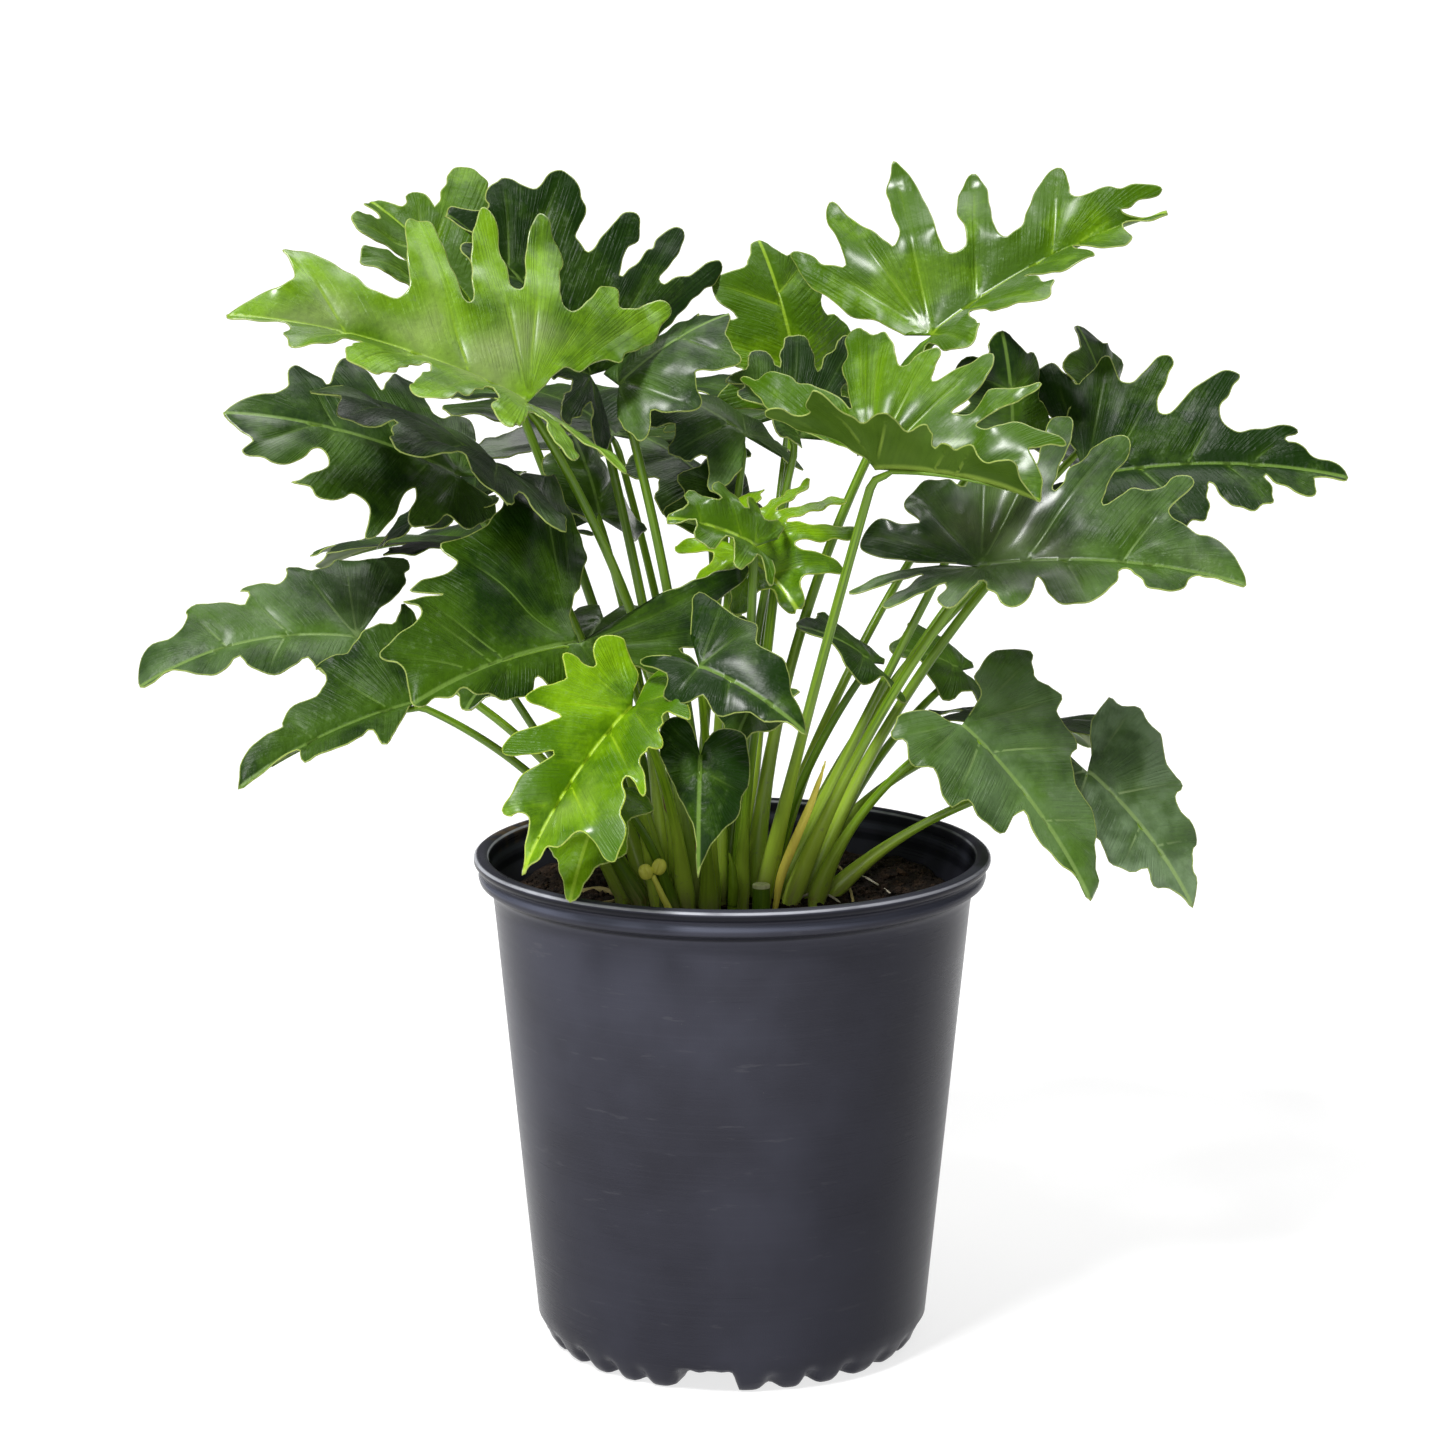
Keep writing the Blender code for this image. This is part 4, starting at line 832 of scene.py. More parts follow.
def ruled_margin(leaf, side, length):
    """A margin by rule, from the tip round to the rear, as (place, wave), and the lobes' veins."""
    lobes, cut, finger = leaf["detail"].get(side, leaf[side]), leaf["cut"], leaf["detail"].get("finger", 1.0)
    tips = [np.array((length, 0.0))] + [flat(*lobe) for lobe in lobes]
    roots = vein_roots(tips, length)
    margin = [(tips[0], TIP_WAVE)]
    for k in range(len(tips) - 1):
        depth = cut * (TIP_CUT if k == 0 else 1.0)
        base = np.array(((roots[k] + roots[k + 1]) / 2, 0.0))
        sinus = base + ((tips[k] + tips[k + 1]) / 2 - base) * (1 - depth)
        margin += lobe_side(sinus, tips[k], roots[k], depth, finger)
        margin.append((sinus, SINUS_WAVE))
        margin += lobe_side(sinus, tips[k + 1], roots[k + 1], depth, finger)[::-1]
        margin.append((tips[k + 1], TIP_WAVE))
    rear, reach = lobes[-1]
    last = flat(min(rear + REAR_TURN, max(REAR_LIMIT, rear + REAR_TURN / 2)), reach * REAR_END)
    margin += zip(((last + tips[-1]) / 2 * REAR_SWELL, last), REAR_WAVES)
    return margin, list(zip(roots[1:], tips[1:]))


def photo_pixel(place):
    """The photo's pixels across and down where a place in metres is seen."""
    x, y, z = place - CAMERA_PLACE
    down = math.radians(CAMERA_DOWN)
    away = y * math.cos(down) - z * math.sin(down)
    rise = z * math.cos(down) + y * math.sin(down)
    return PHOTO_PIXELS / 2 + FOCAL_PIXELS * np.array((x, -rise)) / away


def lay_flat(leaf, side, seen):
    """A margin read in the photo, laid flat on its half blade: whole mm along the midrib and across it."""
    junction, length, along, up, side_left, side_right = (np.array(item) for item in blade_frame(leaf))
    across = side_left if side == "left" else side_right
    tilt = np.cross(along, across) if side == "left" else np.cross(across, along)

    def miss(spot, pixel):
        x, y = spot
        share = x / length
        arch = 4 * leaf["arch"] * length * (share * (1 - share) if share > 0 else share)
        droop = leaf["curl"] * y * y / length
        return photo_pixel(junction + along * x + across * y + up * arch - tilt * droop) - pixel

    def search(spot, pixel):
        for _ in range(SEARCH_STEPS):
            off = miss(spot, pixel)
            if np.hypot(*off) < SEARCH_NEAR:
                break
            slope = np.stack([miss(spot + way * SEARCH_NUDGE, pixel) - off for way in np.eye(2)], 1)
            step = np.linalg.lstsq(slope / SEARCH_NUDGE, -off, rcond=None)[0]
            spot = spot + step * min(1.0, SEARCH_REACH / np.hypot(*step))
            spot[1] = max(spot[1], SEARCH_BELOW)
        return spot

    last, points = np.array((length, 0.0)), []
    for across_photo, down_photo, *mark in seen:
        pixel = np.array((across_photo, down_photo))
        starts = (last, last + (0, NEXT_ASIDE), np.array((last[0], MIDDLE_ASIDE)), np.array((0, REAR_ASIDE)))
        found = [search(start, pixel) for start in starts]
        costs = [np.hypot(*miss(spot, pixel)) + np.hypot(*(spot - last)) * STRAY_COST for spot in found]
        last = found[int(np.argmin(costs))]
        x, y = (round(number / MM) for number in last)
        points.append((x, max(y, 1) if x > 2 else y, *mark))
    return points


def drawn_margin(points, length):
    """A margin given point by point in mm: (x, y), with 1 added at a lobe's tip and -1 in a sinus."""
    places = [np.array((length, 0.0))] + [np.array(point[:2]) * MM for point in points]
    marks = [1] + [point[2] if len(point) > 2 else 0 for point in points]
    known = [k for k, mark in enumerate(marks) if mark] + [len(marks)]
    height = [TIP_WAVE if marks[k] > 0 else SINUS_WAVE for k in known[:-1]] + [REAR_WAVES[0]]
    waves = np.interp(range(len(marks)), known, height)
    tips = [place for place, mark in zip(places, marks) if mark > 0]
    return list(zip(places, waves)), list(zip(vein_roots(tips, length)[1:], tips[1:]))


def smooth_noise(draw, step):
    """Five waves about as long as the step, added up: a function of the distance, about -1 to 1."""
    waves = [(draw.uniform(0.6, 1.6) * 2 * math.pi / step, draw.uniform(0, 2 * math.pi)) for _ in range(5)]
    return lambda s: sum(np.sin(s * pace + phase) for pace, phase in waves) / 2.6


def swell_waves(draw):
    """Slow swells through space as (direction, phase), the same for both half blades."""
    waves = []
    for _ in range(6):
        way = Vector((draw.uniform(-1, 1), draw.uniform(-1, 1), draw.uniform(-1, 1))).normalized()
        waves.append((np.array(way) * 2 * math.pi / draw.uniform(*SWELL_SPAN), draw.uniform(0, 2 * math.pi)))
    return waves


def hermite(first, leave, last, arrive, t):
    """A place on the smooth way from the first place to the last."""
    return (first * (2 * t ** 3 - 3 * t ** 2 + 1) + leave * (t ** 3 - 2 * t ** 2 + t)
            + last * (3 * t ** 2 - 2 * t ** 3) + arrive * (t ** 3 - t ** 2))


def catmull(points, per):
    """A smooth line through control rows, with per samples in each stretch; the ends are kept."""
    points = np.asarray(points, float)
    full = np.vstack((2 * points[0] - points[1], points, 2 * points[-1] - points[-2]))
    steps = np.sqrt(np.maximum(np.linalg.norm(np.diff(full, axis=0), axis=1), 1e-9))
    out = []
    for k in range(1, len(full) - 2):
        a, b, c, d = full[k - 1:k + 3]
        before, here, after = steps[k - 1:k + 2]
        leave = here * ((b - a) / before - (c - a) / (before + here) + (c - b) / here)
        arrive = here * ((c - b) / here - (d - b) / (here + after) + (d - c) / after)
        out += [hermite(b, leave, c, arrive, t) for t in np.arange(per) / per]
    out.append(full[-2])
    return np.array(out)


def even_line(line, step):
    """The same line with even steps."""
    run = np.concatenate(([0], np.cumsum(np.linalg.norm(np.diff(line, axis=0), axis=1))))
    where = np.linspace(0, run[-1], max(round(run[-1] / step), 2) + 1)
    return np.stack([np.interp(where, run, column) for column in line.T], 1), where


def line_distance(points, line):
    """Distance of each point from a line of straight stretches."""
    start, step = line[:-1], np.diff(line, axis=0)
    apart = points[:, None, :] - start[None]
    part = np.clip((apart * step).sum(2) / np.maximum((step * step).sum(1), 1e-14), 0, 1)
    return np.linalg.norm(apart - part[..., None] * step, axis=2).min(1)


def inside(points, line):
    """Which points lie inside a closed line."""
    x, y = points[:, :1], points[:, 1:]
    (ax, ay), (bx, by) = line.T, np.roll(line, -1, axis=0).T
    rise = np.where(by == ay, 1e-12, by - ay)
    return (((ay > y) != (by > y)) & (x < (bx - ax) * (y - ay) / rise + ax)).sum(1) % 2 == 1


def outward(line):
    """The direction square to a margin line at each of its points, away from the blade."""
    way = np.gradient(line, axis=0)
    return np.stack((way[:, 1], -way[:, 0]), 1) / np.maximum(np.linalg.norm(way, axis=1), 1e-9)[:, None]


def fill_points(line, spine, veins, fine):
    """Places inside a half blade: rows along its margin, along its veins, and an even field between."""
    step, field = FINE_STEPS if fine else PLAIN_STEPS
    closed = np.vstack((line, (0.0, 0.0), spine))
    groups = [(line - outward(line) * depth, RIM_CLEAR[0] * depth, RIM_CLEAR[1] * min(depth, step))
              for depth in MARGIN_ROWS]
    rows = [(np.array((0.0, 0.0)), line[0] * (1, 0), RIB_ROWS)]
    rows += [(np.array((root, 0.0)), tip, FINE_ROWS if fine else PLAIN_ROWS) for root, tip in veins]
    for start, end, asides in rows:
        way = (end - start) / max(np.linalg.norm(end - start), 1e-9)
        count = max(int(np.linalg.norm(end - start) / VEIN_STEP), 2)
        places = start + np.outer(np.arange(1, count) / count, end - start)
        for aside in asides:
            groups.append((places + np.array((-way[1], way[0])) * aside, *ROW_CLEAR))
    low, high = line.min(0), line.max(0)
    across = np.arange(low[0], high[0], field)
    upward = np.arange(low[1], high[1], field * FIELD_ROWS)
    grid = np.array([(x + (k % 2) * field / 2, y) for k, y in enumerate(upward) for x in across])
    groups.append((grid, field * FIELD_CLEAR[0], field * FIELD_CLEAR[1]))
    kept = spine
    for places, rim, clear in groups:
        places = places[inside(places, closed)]
        if len(places):
            places = places[line_distance(places, line) >= rim]
        if len(places):
            apart = np.linalg.norm(places[:, None] - kept[None], axis=2).min(1)
            kept = np.vstack((kept, places[apart >= clear]))
    return closed, kept[len(spine):]


def between_veins(points, veins):
    """A number that runs on from vein to vein, the same all along a line from the midrib to the margin."""
    asides = [np.maximum(points[:, 1], 0.0)]
    for root, tip in veins:
        way = (tip - (root, 0.0)) / np.linalg.norm(tip - (root, 0.0))
        asides.append(way[0] * points[:, 1] - way[1] * (points[:, 0] - root))
    asides.append(np.full(len(points), LAST_ASIDE))
    asides = np.array(asides)
    behind = np.cumprod(asides[1:] > 0, axis=0).sum(0)
    each = np.arange(len(points))
    last = np.maximum(asides[behind, each], 0)
    after = np.maximum(-asides[np.minimum(behind + 1, len(veins) + 1), each], 1e-5)
    return (behind + last / (last + after)) * VEIN_SPACING


def waved_margin(leaf, side, length, draw):
    """A half blade's margin in even steps, its waves and ripples at each point, and the lobes' veins."""
    drawn = [*lay_flat(leaf, side, leaf["seen"].get(side, ())), *leaf["drawn"].get(side, ())]
    margin, veins = drawn_margin(drawn, length) if drawn else ruled_margin(leaf, side, length)
    curls = [wave + (draw.uniform(-CURL_CHANCE, CURL_CHANCE) if wave == TIP_WAVE and k else 0.0)
             for k, (_, wave) in enumerate(margin)]
    control = np.array([(*place, wave) for (place, _), wave in zip(margin, curls)]) / (1, 1, 1000)
    line, run = even_line(catmull(control, RIM_STEPS), (FINE_STEPS if leaf["fine"] else PLAIN_STEPS)[0])
    line, waves = line[:, :2], line[:, 2] * 1000
    ease = np.clip(run / MARGIN_EASE, 0, 1) * np.clip((run[-1] - run) / MARGIN_EASE, 0, 1)
    sway = smooth_noise(draw, SWAY_STEP)(run) * (DRAWN_SWAY if drawn else EDGE_SWAY)
    line = line + outward(line) * ease[:, None] * sway[:, None]
    if drawn:
        ahead, aside = line[1:].T
        line[1:, 1] = np.where(ahead > SPINE_FROM, np.maximum(aside, SPINE_CLEAR), aside)
    ripple = smooth_noise(draw, RIPPLE_STEP)(run) * RIPPLE * np.clip(run / RIPPLE_EASE, 0, 1)
    return line, waves, ripple, veins


def nearest_vein(x, y, veins):
    """Distance of each point from the nearest vein that runs into a lobe."""
    near = np.full(len(x), NO_VEIN)
    for root, tip in veins:
        way = tip - np.array((root, 0.0))
        share = np.clip(((x - root) * way[0] + y * way[1]) / np.dot(way, way), 0, 1)
        near = np.minimum(near, np.hypot(x - root - share * way[0], y - share * way[1]))
    return near


def half_blade(leaf, side, frame, draw, swells, spine):
    """Points and triangles of one half blade, with the values that its materials read."""
    junction, length, along, up, side_left, side_right = frame
    detail, is_left = leaf["detail"], side == "left"
    line, waves, ripple, veins = waved_margin(leaf, side, length, draw)
    closed, filling = fill_points(line, spine, veins, leaf["fine"])
    everything = np.vstack((closed, filling)) * 1000
    places, _, faces, _, _, _ = geometry.delaunay_2d_cdt([Vector(place) for place in everything], [],
                                                         [list(range(len(closed)))], 1, 0.0001)
    points = np.array([tuple(place) for place in places]) / 1000
    apart = np.linalg.norm(points[:, None] - line[None], axis=2)
    weight = 1 / (apart ** 2 + WAVE_REACH ** 2) ** 2
    weight /= weight.sum(1, keepdims=True)
    rim = line_distance(points, line)
    x, y = points.T
    rib = np.where(x >= 0, np.abs(y), np.hypot(x, y))
    part = rib / (rib + rim + 1e-6)
    ruffle = detail.get("ruffle", leaf["ruffle"]) * MM
    wave = ruffle * (weight @ waves) * part ** 2 + (weight @ ripple) * part ** 4
    vein = nearest_vein(x, y, veins)
    fade = np.clip(rim / PUFF_REACH, 0, 1)
    relief = PUFF * np.sin(np.clip(np.minimum(vein, rib) / PUFF_REACH, 0, 1) * math.pi / 2) * fade
    relief -= GROOVE * np.exp(-(vein / GROOVE_WIDTH) ** 2) * fade
    relief -= RIB_GROOVE * np.exp(-(rib / RIB_WIDTH) ** 2)
    across = np.array(side_left if is_left else side_right)
    tilt = np.array(along.cross(side_left) if is_left else side_right.cross(along))
    share = x / length
    arch = 4 * leaf["arch"] * length * np.where(share > 0, share * (1 - share), share)
    droop = detail.get("curl", {}).get(side, leaf["curl"]) * y ** 2 / length
    blend = np.clip(np.abs(y) / FOLD_REACH, 0, 1)[:, None]
    space = (np.array(junction) + np.array(along) * x[:, None] + across * y[:, None]
             + np.array(up) * arch[:, None])
    if is_left and "lift" in detail:
        space[:, 2] += detail["lift"] * np.clip(-x / LIFT_SPAN, 0, 1.2) ** 1.3
    swell = sum(np.sin(space @ way + phase) for way, phase in swells) / 2.4 * SWELL
    wave += swell * np.clip(rib / SWELL_EASE, 0, 1)
    space = (space + tilt * (wave - droop)[:, None]
             + (np.array(up) * (1 - blend) + tilt * blend) * relief[:, None])
    values = {"vein": vein, "rib": rib, "rim": rim,
              "ray": between_veins(points, veins) * (1 if is_left else -1)}
    turned = []
    for a, b, c in faces:
        (ax, ay), (bx, by), (cx, cy) = points[a], points[b], points[c]
        area = (bx - ax) * (cy - ay) - (cx - ax) * (by - ay)
        turned.append((a, b, c) if (area > 0) == is_left else (a, c, b))
    return space, values, turned


def blade_mesh(leaf, seed):
    """Both half blades joined along the midrib in one sheet of triangles, facing up."""
    frame = blade_frame(leaf)
    length = frame[1]
    draw = random.Random(seed)
    swells = swell_waves(draw)
    count = max(round(length / RIB_STEP), 8)
    spine = np.stack((np.linspace(0, length, count + 1)[1:-1], np.zeros(count - 1)), 1)
    left, right = (half_blade(leaf, side, frame, draw, swells, spine) for side in ("left", "right"))
    faces = left[2] + [tuple(len(left[0]) + corner for corner in face) for face in right[2]]
    mesh = new_mesh(leaf["name"], np.vstack((left[0], right[0])).tolist(), [], faces)
    store(mesh, **{name: np.concatenate((left[1][name], right[1][name])) for name in left[1]})
    weld(mesh, BLADE_WELD, closed=False)
    return mesh


# Objects and geometry trees
def new_mesh(name, places, edges, faces):
    """A mesh made of its places, edges and faces."""
    mesh = bpy.data.meshes.new(name)
    mesh.from_pydata(places, edges, faces)
    return mesh


def store(mesh, **values):
    """Stores named numbers on a mesh's points: one for each point, or the same one for all."""
    for name, numbers in values.items():
        full = np.full(len(mesh.vertices), numbers, np.float32)
        mesh.attributes.new(name, "FLOAT", "POINT").data.foreach_set("value", full)


def weld(mesh, near, closed=True):
    """Merges points that are nearly one. A closed skin is turned outwards, an open one loses its slivers."""
    work = bmesh.new()
    work.from_mesh(mesh)
    bmesh.ops.remove_doubles(work, verts=work.verts, dist=near)
    if closed:
        bmesh.ops.recalc_face_normals(work, faces=work.faces)
    else:
        bmesh.ops.dissolve_degenerate(work, edges=work.edges, dist=BLADE_SLIVER)
    work.to_mesh(mesh)
    work.free()


def circle(radius, z, steps):
    """Places round the Z axis at a height."""
    angles = [2 * math.pi * k / steps for k in range(steps)]
    return [(radius * math.cos(angle), radius * math.sin(angle), z) for angle in angles]


def new_piece(name, mesh, *materials):
    """An object at the origin with its place in its mesh, smooth all over."""
    for material in materials:
        mesh.materials.append(material)
    mesh.polygons.foreach_set("use_smooth", [True] * len(mesh.polygons))
    obj = bpy.data.objects.new(name, mesh)
    bpy.context.scene.collection.objects.link(obj)
    return obj


def settle(obj):
    """Turns what the object's modifiers make into its plain mesh."""
    depsgraph = bpy.context.evaluated_depsgraph_get()
    mesh = bpy.data.meshes.new_from_object(obj.evaluated_get(depsgraph), preserve_all_data_layers=True,
                                           depsgraph=depsgraph)
    obj.modifiers.clear()
    old, obj.data = obj.data, mesh
    bpy.data.meshes.remove(old)


def thicken(obj, thickness, under=0):
    """Makes a sheet solid; its underside takes the material that stands under places on in its list."""
    solid = obj.modifiers.new("Solidify", "SOLIDIFY")
    solid.thickness = thickness
    solid.offset = 0.0
    solid.material_offset = under
    settle(obj)


def join_pieces(main, *others):
    """Joins pieces into the first one."""
    everything = [main, *others]
    with bpy.context.temp_override(active_object=main, object=main, selected_objects=everything,
                                   selected_editable_objects=everything):
        bpy.ops.object.join()
    return main


def hold(piece, slot, *nodes):
    """The frame calls of a piece."""
    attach(piece, "root")
    if nodes:
        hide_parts(*nodes)


def new_tree(name, inputs):
    """An empty geometry tree with the named inputs, which ends in setting its material."""
    tree = bpy.data.node_groups.new(name, "GeometryNodeTree")
    tree.interface.new_socket("Geometry", in_out="INPUT", socket_type="NodeSocketGeometry")
    for label, kind in inputs:
        tree.interface.new_socket(label, in_out="INPUT", socket_type="NodeSocket" + kind)
    tree.interface.new_socket("Geometry", in_out="OUTPUT", socket_type="NodeSocketGeometry")
    enter = tree.nodes.new("NodeGroupInput")
    leave = tree.nodes.new("NodeGroupOutput")

    def add(kind, settings=None, values=None):
        return make_node(tree, kind, settings, values).outputs

    def end(geometry):
        made = add("GeometryNodeSetMaterial",
                   values={"Geometry": geometry, "Material": enter.outputs["Material"]})
        tree.links.new(made["Geometry"], leave.inputs[0])
        return tree

    return add, enter.outputs, end


def run_tree(obj, tree, values):
    """Runs a geometry tree on an object with its named inputs set, and keeps the result as a mesh."""
    modifier = obj.modifiers.new(tree.name, "NODES")
    modifier.node_group = tree
    for item in tree.interface.items_tree:
        if item.in_out == "INPUT" and item.name in values:
            modifier[item.identifier] = values[item.name]
    settle(obj)


def sweep_tree():
    """Round stems along lines of edges whose points hold a radius."""
    add, given, end = new_tree("stem_sweep", (("Sides", "Int"), ("Material", "Material")))
    line = add("GeometryNodeMeshToCurve", values={"Mesh": given["Geometry"]})["Curve"]
    radius = add("GeometryNodeInputNamedAttribute", {"data_type": "FLOAT"}, {"Name": "thick"})["Attribute"]
    line = add("GeometryNodeSetCurveRadius", values={"Curve": line, "Radius": radius})["Curve"]
    run = add("GeometryNodeSplineParameter")["Length"]
    line = add("GeometryNodeStoreNamedAttribute", {"data_type": "FLOAT", "domain": "POINT"},
               {"Geometry": line, "Name": "run", "Value": run})["Geometry"]
    ring = add("GeometryNodeCurvePrimitiveCircle", {"mode": "RADIUS"},
               {"Resolution": given["Sides"], "Radius": 1.0})["Curve"]
    spot = add("GeometryNodeInputPosition")["Position"]
    ring = add("GeometryNodeStoreNamedAttribute", {"data_type": "FLOAT_VECTOR", "domain": "POINT"},
               {"Geometry": ring, "Name": "around", "Value": spot})["Geometry"]
    mesh = add("GeometryNodeCurveToMesh", values={"Curve": line, "Profile Curve": ring, "Scale": radius,
                                                  "Fill Caps": True})["Mesh"]
    mesh = add("GeometryNodeSetShadeSmooth", values={"Geometry": mesh})["Geometry"]
    mesh = add("GeometryNodeRealizeInstances", values={"Geometry": mesh})["Geometry"]
    return end(mesh)


def crumb_tree():
    """Small lumps strewn over a surface, half sunk in it."""
    add, given, end = new_tree("crumb_scatter", (
        ("Density", "Float"), ("Smallest", "Float"), ("Largest", "Float"), ("Flatness", "Float"),
        ("Seed", "Int"), ("Material", "Material")))
    points = add("GeometryNodeDistributePointsOnFaces", {"distribute_method": "RANDOM"},
                 {"Mesh": given["Geometry"], "Density": given["Density"], "Seed": given["Seed"]})["Points"]
    lump = add("GeometryNodeMeshIcoSphere", values={"Radius": 1.0, "Subdivisions": 1})["Mesh"]
    size = add("FunctionNodeRandomValue", {"data_type": "FLOAT"}, {"Seed": 3})
    spread = add("ShaderNodeMath", {"operation": "POWER"}, {0: size[1], 1: CRUMB_POWER})[0]
    size = add("ShaderNodeMapRange", values={"Value": spread, "To Min": given["Smallest"],
                                             "To Max": given["Largest"]})[0]
    shape = add("FunctionNodeRandomValue", {"data_type": "FLOAT_VECTOR"},
                {0: CRUMB_SHAPE[0], 1: CRUMB_SHAPE[1], "Seed": 5})[0]
    shape = add("ShaderNodeVectorMath", {"operation": "SCALE"}, {0: shape, "Scale": size})[0]
    flatten = add("ShaderNodeCombineXYZ", values={"X": 1.0, "Y": 1.0, "Z": given["Flatness"]})[0]
    shape = add("ShaderNodeVectorMath", {"operation": "MULTIPLY"}, {0: shape, 1: flatten})[0]
    turn = add("FunctionNodeRandomValue", {"data_type": "FLOAT_VECTOR"},
               {0: CRUMB_TURN[0], 1: CRUMB_TURN[1], "Seed": 7})[0]
    lumps = add("GeometryNodeInstanceOnPoints",
                values={"Points": points, "Instance": lump, "Rotation": turn, "Scale": shape})[0]
    lumps = add("GeometryNodeRealizeInstances", values={"Geometry": lumps})["Geometry"]
    grit = add("ShaderNodeTexNoise", values={"Scale": GRIT_SCALE})["Color"]
    grit = add("ShaderNodeVectorMath", {"operation": "SUBTRACT"}, {0: grit, 1: (0.5, 0.5, 0.5)})[0]
    grit = add("ShaderNodeVectorMath", {"operation": "SCALE"}, {0: grit, "Scale": GRIT})[0]
    lumps = add("GeometryNodeSetPosition", values={"Geometry": lumps, "Offset": grit})["Geometry"]
    return end(lumps)


def stem(name, line, material, tree, sides):
    """A round stem along a line of (place, radius, part of the way from foot to end)."""
    places, thick, along = zip(*line)
    edges = [(k, k + 1) for k in range(len(line) - 1)]
    mesh = new_mesh(name, [tuple(place) for place in places], edges, [])
    store(mesh, thick=thick, along=along)
    obj = new_piece(name, mesh)
    run_tree(obj, tree, {"Sides": sides, "Material": material})
    weld(obj.data, STEM_WELD)
    return obj


def smooth_line(points, per=5):
    """A smooth line of (place, radius, part) through a few points given in mm."""
    rows = catmull([(*place, radius) for place, radius in points], per) * MM
    return [(row[:3], row[3], k / (len(rows) - 1)) for k, row in enumerate(rows)]


def stalk_line(leaf, foot):
    """A leaf's stalk from the soil to its blade, and on as the raised midrib under the blade."""
    junction, length, along, up, _, _ = blade_frame(leaf)
    below = junction - up * STALK_UNDER
    start = Vector((foot.x, foot.y, SOIL_TOP + STALK_RISE))
    run = below - start
    straight = run.normalized()
    leave = (straight * (1 - leaf["bow"]) + Vector((0, 0, 1)) * leaf["bow"]).normalized() * run.length
    arrive = (straight * 2 - leave.normalized()).normalized() * run.length
    rows = [(Vector((foot.x, foot.y, SOIL_TOP - STEM_SINK)), STALK_FOOT), (start, STALK_BASE)]
    thin = STALK_FINE * (STALK_PLAIN if leaf["tone"] == "leaf_dark" and not leaf["fine"] else 1.0)
    for k in range(1, STALK_POINTS):
        t = k / STALK_POINTS
        place = hermite(start, leave, below, arrive, t)
        swell = max(1 - t * STALK_SWELL, 0) ** 1.5
        rows.append((place, thin + (STALK_BASE - thin) * swell + STALK_TAPER * (1 - t)))
    last = rows[-1][0]
    onward = junction + along * min(STALK_ON, 0.2 * length) - up * STALK_UNDER
    for t in (0.33, 0.66):
        rows.append((last * (1 - t) ** 2 + below * 2 * t * (1 - t) + onward * t ** 2, thin * (1 - 0.3 * t)))
    for part in np.linspace(RIB_START, RIB_REACH, RIB_POINTS):
        arch = 4 * leaf["arch"] * length * part * (1 - part)
        thick = RIB_THICK * (1 - part / RIB_REACH * RIB_TAPER)
        rise = arch - RIB_GROOVE - thick * RIB_SINK
        rows.append((junction + along * length * part + up * rise, thick))
    total = len(rows) - 1
    return [(place, radius, k / total) for k, (place, radius) in enumerate(rows)]


def spread_feet(wanted, fixed):
    """Moves stem feet apart until none stands nearer to another than the spacing; fixed ones stay."""
    feet = [Vector(spot) for spot in wanted]
    for _ in range(CROWN_ROUNDS):
        moved = False
        for i, first in enumerate(feet):
            for j in range(i + 1, len(feet)):
                apart = feet[j] - first
                short = CROWN_SPACING - apart.length
                if short > CROWN_PLAY:
                    push = apart.normalized() * (short if i < fixed else short / 2)
                    feet[j] = feet[j] + push
                    if i >= fixed:
                        first -= push
                    moved = True
        if not moved:
            break
    return feet


def wanted_foot(leaf):
    """Where a leaf's stalk would like to stand: on its own side of the crown, low leaves farthest out."""
    x, y, height = (value * MM for value in leaf["junction"])
    away = Vector((x - CROWN_CENTRE[0], y - leaf["push"] * MM - CROWN_CENTRE[1]))
    slope = away.length / max(height - SOIL_TOP, CROWN_LOW)
    reach = CROWN_SPREAD * min(CROWN_NEAR + CROWN_SLOPE * slope, 1.0)
    return Vector(CROWN_CENTRE) + away.normalized() * reach


def make_leaf(leaf, foot, seed, materials, tree):
    """One leaf: a thin blade with a top and an underside, on its stalk."""
    mesh = blade_mesh(leaf, seed)
    skin = leaf["detail"].get("skin", leaf["tone"])
    blade = new_piece("fine_" + leaf["name"], mesh, materials[skin], materials[skin + "_under"])
    thicken(blade, BLADE_THICK, under=1)
    stalk = stem(leaf["name"] + "_stem", stalk_line(leaf, foot), materials["stalk"], tree, STALK_SIDES)
    shade, grey, shine = leaf["looks"]
    store(blade.data, shade=shade, grey=grey, shine=shine, along=1.0, thick=0.0)
    store(stalk.data, shade=shade, grey=grey, pale=random.Random(seed * 7).random())
    hold(join_pieces(blade, stalk), leaf["tone"], leaf["name"])


